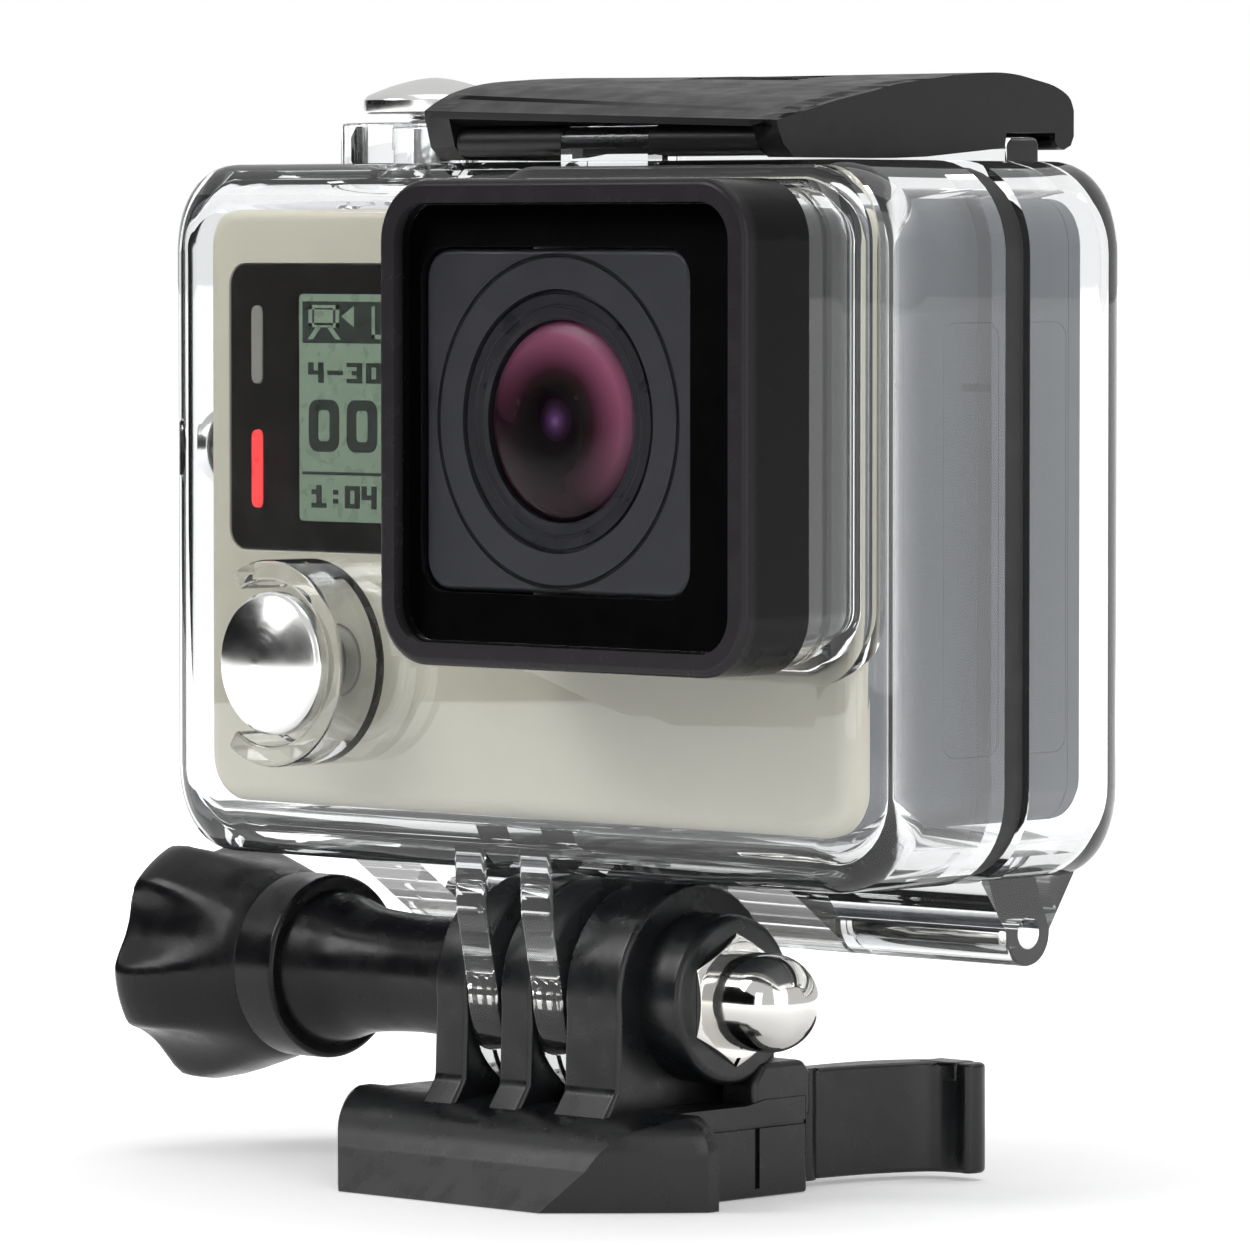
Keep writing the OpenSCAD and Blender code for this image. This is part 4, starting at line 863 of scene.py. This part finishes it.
ink = [plate(0.35, 17.3, 0.5, 3.3, 0.015), plate(0.3, 17.4, 11.95, 12.15)]
ink += digits("4-30", 0.9, 4.6, 1.45, 1.35, 1.85) + digits("1:04", 1.2, 12.85, 1.4, 1.5, 1.6)
done(make("lcd_signs_detail", *ink), LCD_INK, "housing", "lcd_green", smooth=False)
big = []
for k in range(4):
    x = 0.95 + 3.65 * k
    big.append(cut(make("zero", slab(LCD0[0] + x, LCD0[0] + x + 2.9, LCD1[2] - 10.6, LCD1[2] - 7.1, 0.8,
                                     FACE - 0.03, FACE + 0.02)),
                   make("h", slab(LCD0[0] + x + 0.9, LCD0[0] + x + 2.0, LCD1[2] - 9.9, LCD1[2] - 7.8, 0.3,
                                  FACE - 1, FACE + 1))))
zeros = big[0]
joined(zeros, *big[1:])
zeros.name = "lcd_big_digits_detail"
done(zeros, LCD_INK, "housing", "lcd_green", smooth=False)
icon = [plate(*edges) for edges in (
    (0.95, 3.9, 0.75, 1.05), (0.95, 3.9, 1.95, 2.25), (0.95, 1.3, 0.75, 2.25), (3.55, 3.9, 0.75, 2.25),
    (1.5, 3.3, 0.95, 2.1), (7.0, 7.3, 0.8, 3.0), (8.0, 8.3, 0.8, 3.0), (7.0, 8.3, 2.7, 3.0))]
legs = []
for x0, x1 in ((1.9, 1.1), (2.9, 3.8)):
    legs.append(prism([(LCD0[0] + x0 - 0.2, LCD1[2] - 2.2), (LCD0[0] + x0 + 0.3, LCD1[2] - 2.2),
                       (LCD0[0] + x1 + 0.25, LCD1[2] - 3.05), (LCD0[0] + x1 - 0.25, LCD1[2] - 3.05)],
                      "y", FACE - 0.03, FACE + 0.02))
legs.append(prism([(LCD0[0] + 4.1, LCD1[2] - 1.5), (LCD0[0] + 5.3, LCD1[2] - 0.8),
                   (LCD0[0] + 5.3, LCD1[2] - 2.2)], "y", FACE - 0.03, FACE + 0.02))
done(make("lcd_icon_detail", *icon, *legs), LCD, "housing", "lcd_green", smooth=False)

# keys on the camera
for word, axis, a, b, material, way in (
        ("power", "y", POWER_X, POWER_Z, KEY, -1), ("shutter", "z", SHUT_X, SHUT_Y, RED_KEY, 1),
        ("side", "x", SIDE_Y, SIDE_Z, KEY, -1)):
    node = f"camera_{word}_button"
    lo, hi = box(node)
    i = "xyz".index(axis)
    outer, inner = (lo[i], hi[i]) if way < 0 else (hi[i], lo[i])
    profile = [(outer, 0), (outer - way * 0.02, 2.1), (outer - way * 0.12, 2.4), (outer - way * 0.3, 2.5),
               (outer - way * 1.6, 2.5), (outer - way * 1.6, 1.0), (inner, 1.0), (inner, 0)]
    done(make(node + "_detail", lathe(profile, axis, a, b, 40)), material, node,
         "red_button_plastic" if word == "shutter" else "button_plastic", node)

# lens: bezel square with turned grooves, then stepped rings and glass
bezel = make("lens_bezel_detail", pane(BEZEL0, BEZEL1, 0, 2, BEZEL0[1], BEZEL1[1], 0.4, 0))
ring_r, disc_r, glass_r = 8.45, 10.6, 6.45
Y = BEZEL0[1]
groove = [(Y - 1, disc_r + 0.15), (Y - 1, disc_r - 0.15), (Y + 0.3, disc_r - 0.15), (Y + 0.3, disc_r + 0.15)]
cut(bezel, rod("y", ring_r, Y - 1, BEZEL1[1] + 1, LENS_X, LENS_Z, 96),
    make("g", lathe(groove, "y", LENS_X, LENS_Z, 128)))
inlay = [(Y + 0.28, disc_r - 0.14), (Y + 0.06, disc_r - 0.13), (Y + 0.03, disc_r), (Y + 0.06, disc_r + 0.13),
         (Y + 0.28, disc_r + 0.14)]
done(make("lens_groove_detail", lathe(inlay, "y", LENS_X, LENS_Z, 128)), MASK, "housing", "lens_barrel_black")
done(bezel, BEZEL, "housing", "lens_bezel_grey", "lens_bezel")
ring = [(Y + 0.45, ring_r - 0.05), (Y + 0.4, ring_r - 0.26), (Y + 0.12, ring_r - 0.32), (Y + 0.12, 7.5),
        (Y + 0.2, 7.42), (Y + 0.2, 7.3), (Y + 0.12, 7.22), (Y + 0.12, 6.75), (Y + 0.35, 6.5), (Y + 3.0, 6.5),
        (Y + 3.0, ring_r - 0.05)]
done(make("lens_ring_detail", lathe(ring, "y", LENS_X, LENS_Z, 128)), RING, "housing", "lens_bezel_grey",
     "lens_ring")
tube = [(Y + 3.0, ring_r - 0.05), (Y + 3.0, 6.1)]
for k in range(8):
    tube += [(Y + 3.5 + k * 0.9, 6.05), (Y + 3.7 + k * 0.9, 6.3)]
tube += [(box("lens_barrel")[1][1], 6.1), (box("lens_barrel")[1][1], ring_r - 0.05)]
done(make("lens_barrel_detail", lathe(tube, "y", LENS_X, LENS_Z, 96)), BARREL, "housing", "lens_barrel_black",
     "lens_barrel")
# front element: one coated dome that starts just behind the CAD glass
GLASS0, GLASS1 = box("lens_front_element")
F = GLASS0[1] + 0.02
dome = smooth_line([(F, 0.0), (F + 0.04, 2.4), (F + 0.14, 4.0), (F + 0.34, 5.3), (F + 0.62, 6.1),
                    (F + 0.95, glass_r)])
dome += [(GLASS1[1], glass_r), (GLASS1[1], 0.0)]
done(make("lens_front_element_detail", lathe(dome, "y", LENS_X, LENS_Z, 128)), lens_coating_painted_light(), "housing",
     "coated_glass", "lens_front_element")

# inside of the camera, out of sight: CAD nodes with their own materials
for node, material, slot in (
        ("lens_iris", BARREL, "lens_barrel_black"), ("lens_inner_elements", INNER, "inner_glass"),
        ("image_sensor", SILICON, "sensor_silicon"), ("sensor_board", BOARD, "circuit_board"),
        ("main_board", BOARD, "circuit_board"), ("heat_sink", ALU, "heat_sink_aluminium"),
        ("port_sockets", ALU, "heat_sink_aluminium"), ("battery", WRAP, "battery_wrap"),
        ("memory_card", CARD, "card_plastic"), ("speaker", CARD, "card_plastic"),
        ("microphone", CARD, "card_plastic"), ("camera_screws", SPRING, "spring_steel"),
        ("button_seals", RUBBER, "seal_rubber"), ("latch_lock_spring", SPRING, "spring_steel")):
    mesh = frame["nodes"][node].data
    mesh.materials.clear()
    mesh.materials.append(material)

# ---------------------------------------------------------------- studio
floor = make("floor", prism([(-9000, -9000), (9000, -9000), (9000, 9000), (-9000, 9000)], "z", -20, -0.05))
white = surface("floor_white", (0.93, 0.93, 0.93, 1), 0.6, colour_var=0.01, scale=20, specular=0.0,
                emission=((1, 1, 1, 1), 0.3))
# painted light: the floor glows to stay white, and glows less near the object, a painted shade round it
spot = white.add("ShaderNodeTexCoord").outputs["Object"]
away = white.add("ShaderNodeVectorMath", {0: spot}, operation="LENGTH").outputs["Value"]
painted_floor_light = white.add("ShaderNodeMapRange", {"Value": away, "From Min": 0.03, "From Max": 0.16, "To Min": 0.3,
                                        "To Max": 1.0})
white.link(painted_floor_light.outputs[0], "Emission Strength")
floor.data.materials.append(white.material)
floor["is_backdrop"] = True

world = bpy.data.worlds.new("studio")
scene.world = world
world.use_nodes = True
tree = world.node_tree
sky = tree.nodes["Background"]
sky.inputs[0].default_value = (1, 1, 1, 1)
ray = tree.nodes.new("ShaderNodeLightPath")


def sums(operation, a, b, c=None):
    node = tree.nodes.new("ShaderNodeMath")
    node.operation = operation
    for i, source in enumerate((a, b, c)):
        if hasattr(source, "is_output"):
            tree.links.new(source, node.inputs[i])
        elif source is not None:
            node.inputs[i].default_value = source
    return node.outputs[0]


# the sky is full white to the camera and through clear parts, and dimmer as a light and in reflections
seen = ray.outputs["Is Transmission Ray"]
mirror = sums("MULTIPLY", ray.outputs["Is Glossy Ray"], sums("SUBTRACT", 1.0, seen))
level = sums("MULTIPLY_ADD", mirror, -0.3, 1.0)
tree.links.new(sums("MULTIPLY_ADD", ray.outputs["Is Diffuse Ray"], -0.66, level), sky.inputs[1])


def softbox(name, place, aim, size, power, size_y=None):
    data = bpy.data.lights.new(name, "AREA")
    data.shape, data.size, data.size_y = "RECTANGLE", size * MM, (size_y or size) * MM
    data.energy = power
    lamp = bpy.data.objects.new(name, data)
    scene.collection.objects.link(lamp)
    lamp.location = Vector(place) * MM
    lamp.rotation_mode = "QUATERNION"
    lamp.rotation_quaternion = (Vector(aim) - Vector(place)).to_track_quat("-Z", "Y")
    lamp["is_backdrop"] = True
    return lamp


middle = (0, 0, 38)
softbox("key", (-330, -420, 420), middle, 300, 1.5)
softbox("fill", (420, -160, 180), middle, 260, 0.5, 360)
softbox("top", (60, 60, 480), middle, 420, 0.9)
softbox("front", (150, -520, 90), middle, 160, 0.3, 380)

# a black card keeps the white room out of the window's and the port frame's reflections
card = make("black_card", prism([(-1250, 400), (420, -1270), (400, -1290), (-1270, 380)], "z", -15, 330))
card.data.materials.append(surface("card_black", linear(12, 12, 12), 0.9, specular=0.0).material)
card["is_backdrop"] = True

camera = bpy.data.objects.new("camera", bpy.data.cameras.new("camera"))
scene.collection.objects.link(camera)
azimuth, elevation, distance = math.radians(43.7), math.radians(2.6), 560
target = Vector((1.5, 1.5, 37.3))
back_dir = Vector((math.sin(azimuth) * math.cos(elevation), -math.cos(azimuth) * math.cos(elevation),
                   math.sin(elevation)))
camera.location = (target + back_dir * distance) * MM
camera.rotation_mode = "QUATERNION"
camera.rotation_quaternion = (-back_dir).to_track_quat("-Z", "Y")
camera.data.lens, camera.data.sensor_width = 242.6, 36
camera.data.clip_start, camera.data.clip_end = 0.01, 50
camera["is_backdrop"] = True
scene.camera = camera
scene.view_settings.view_transform = "Standard"

lo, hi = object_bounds()
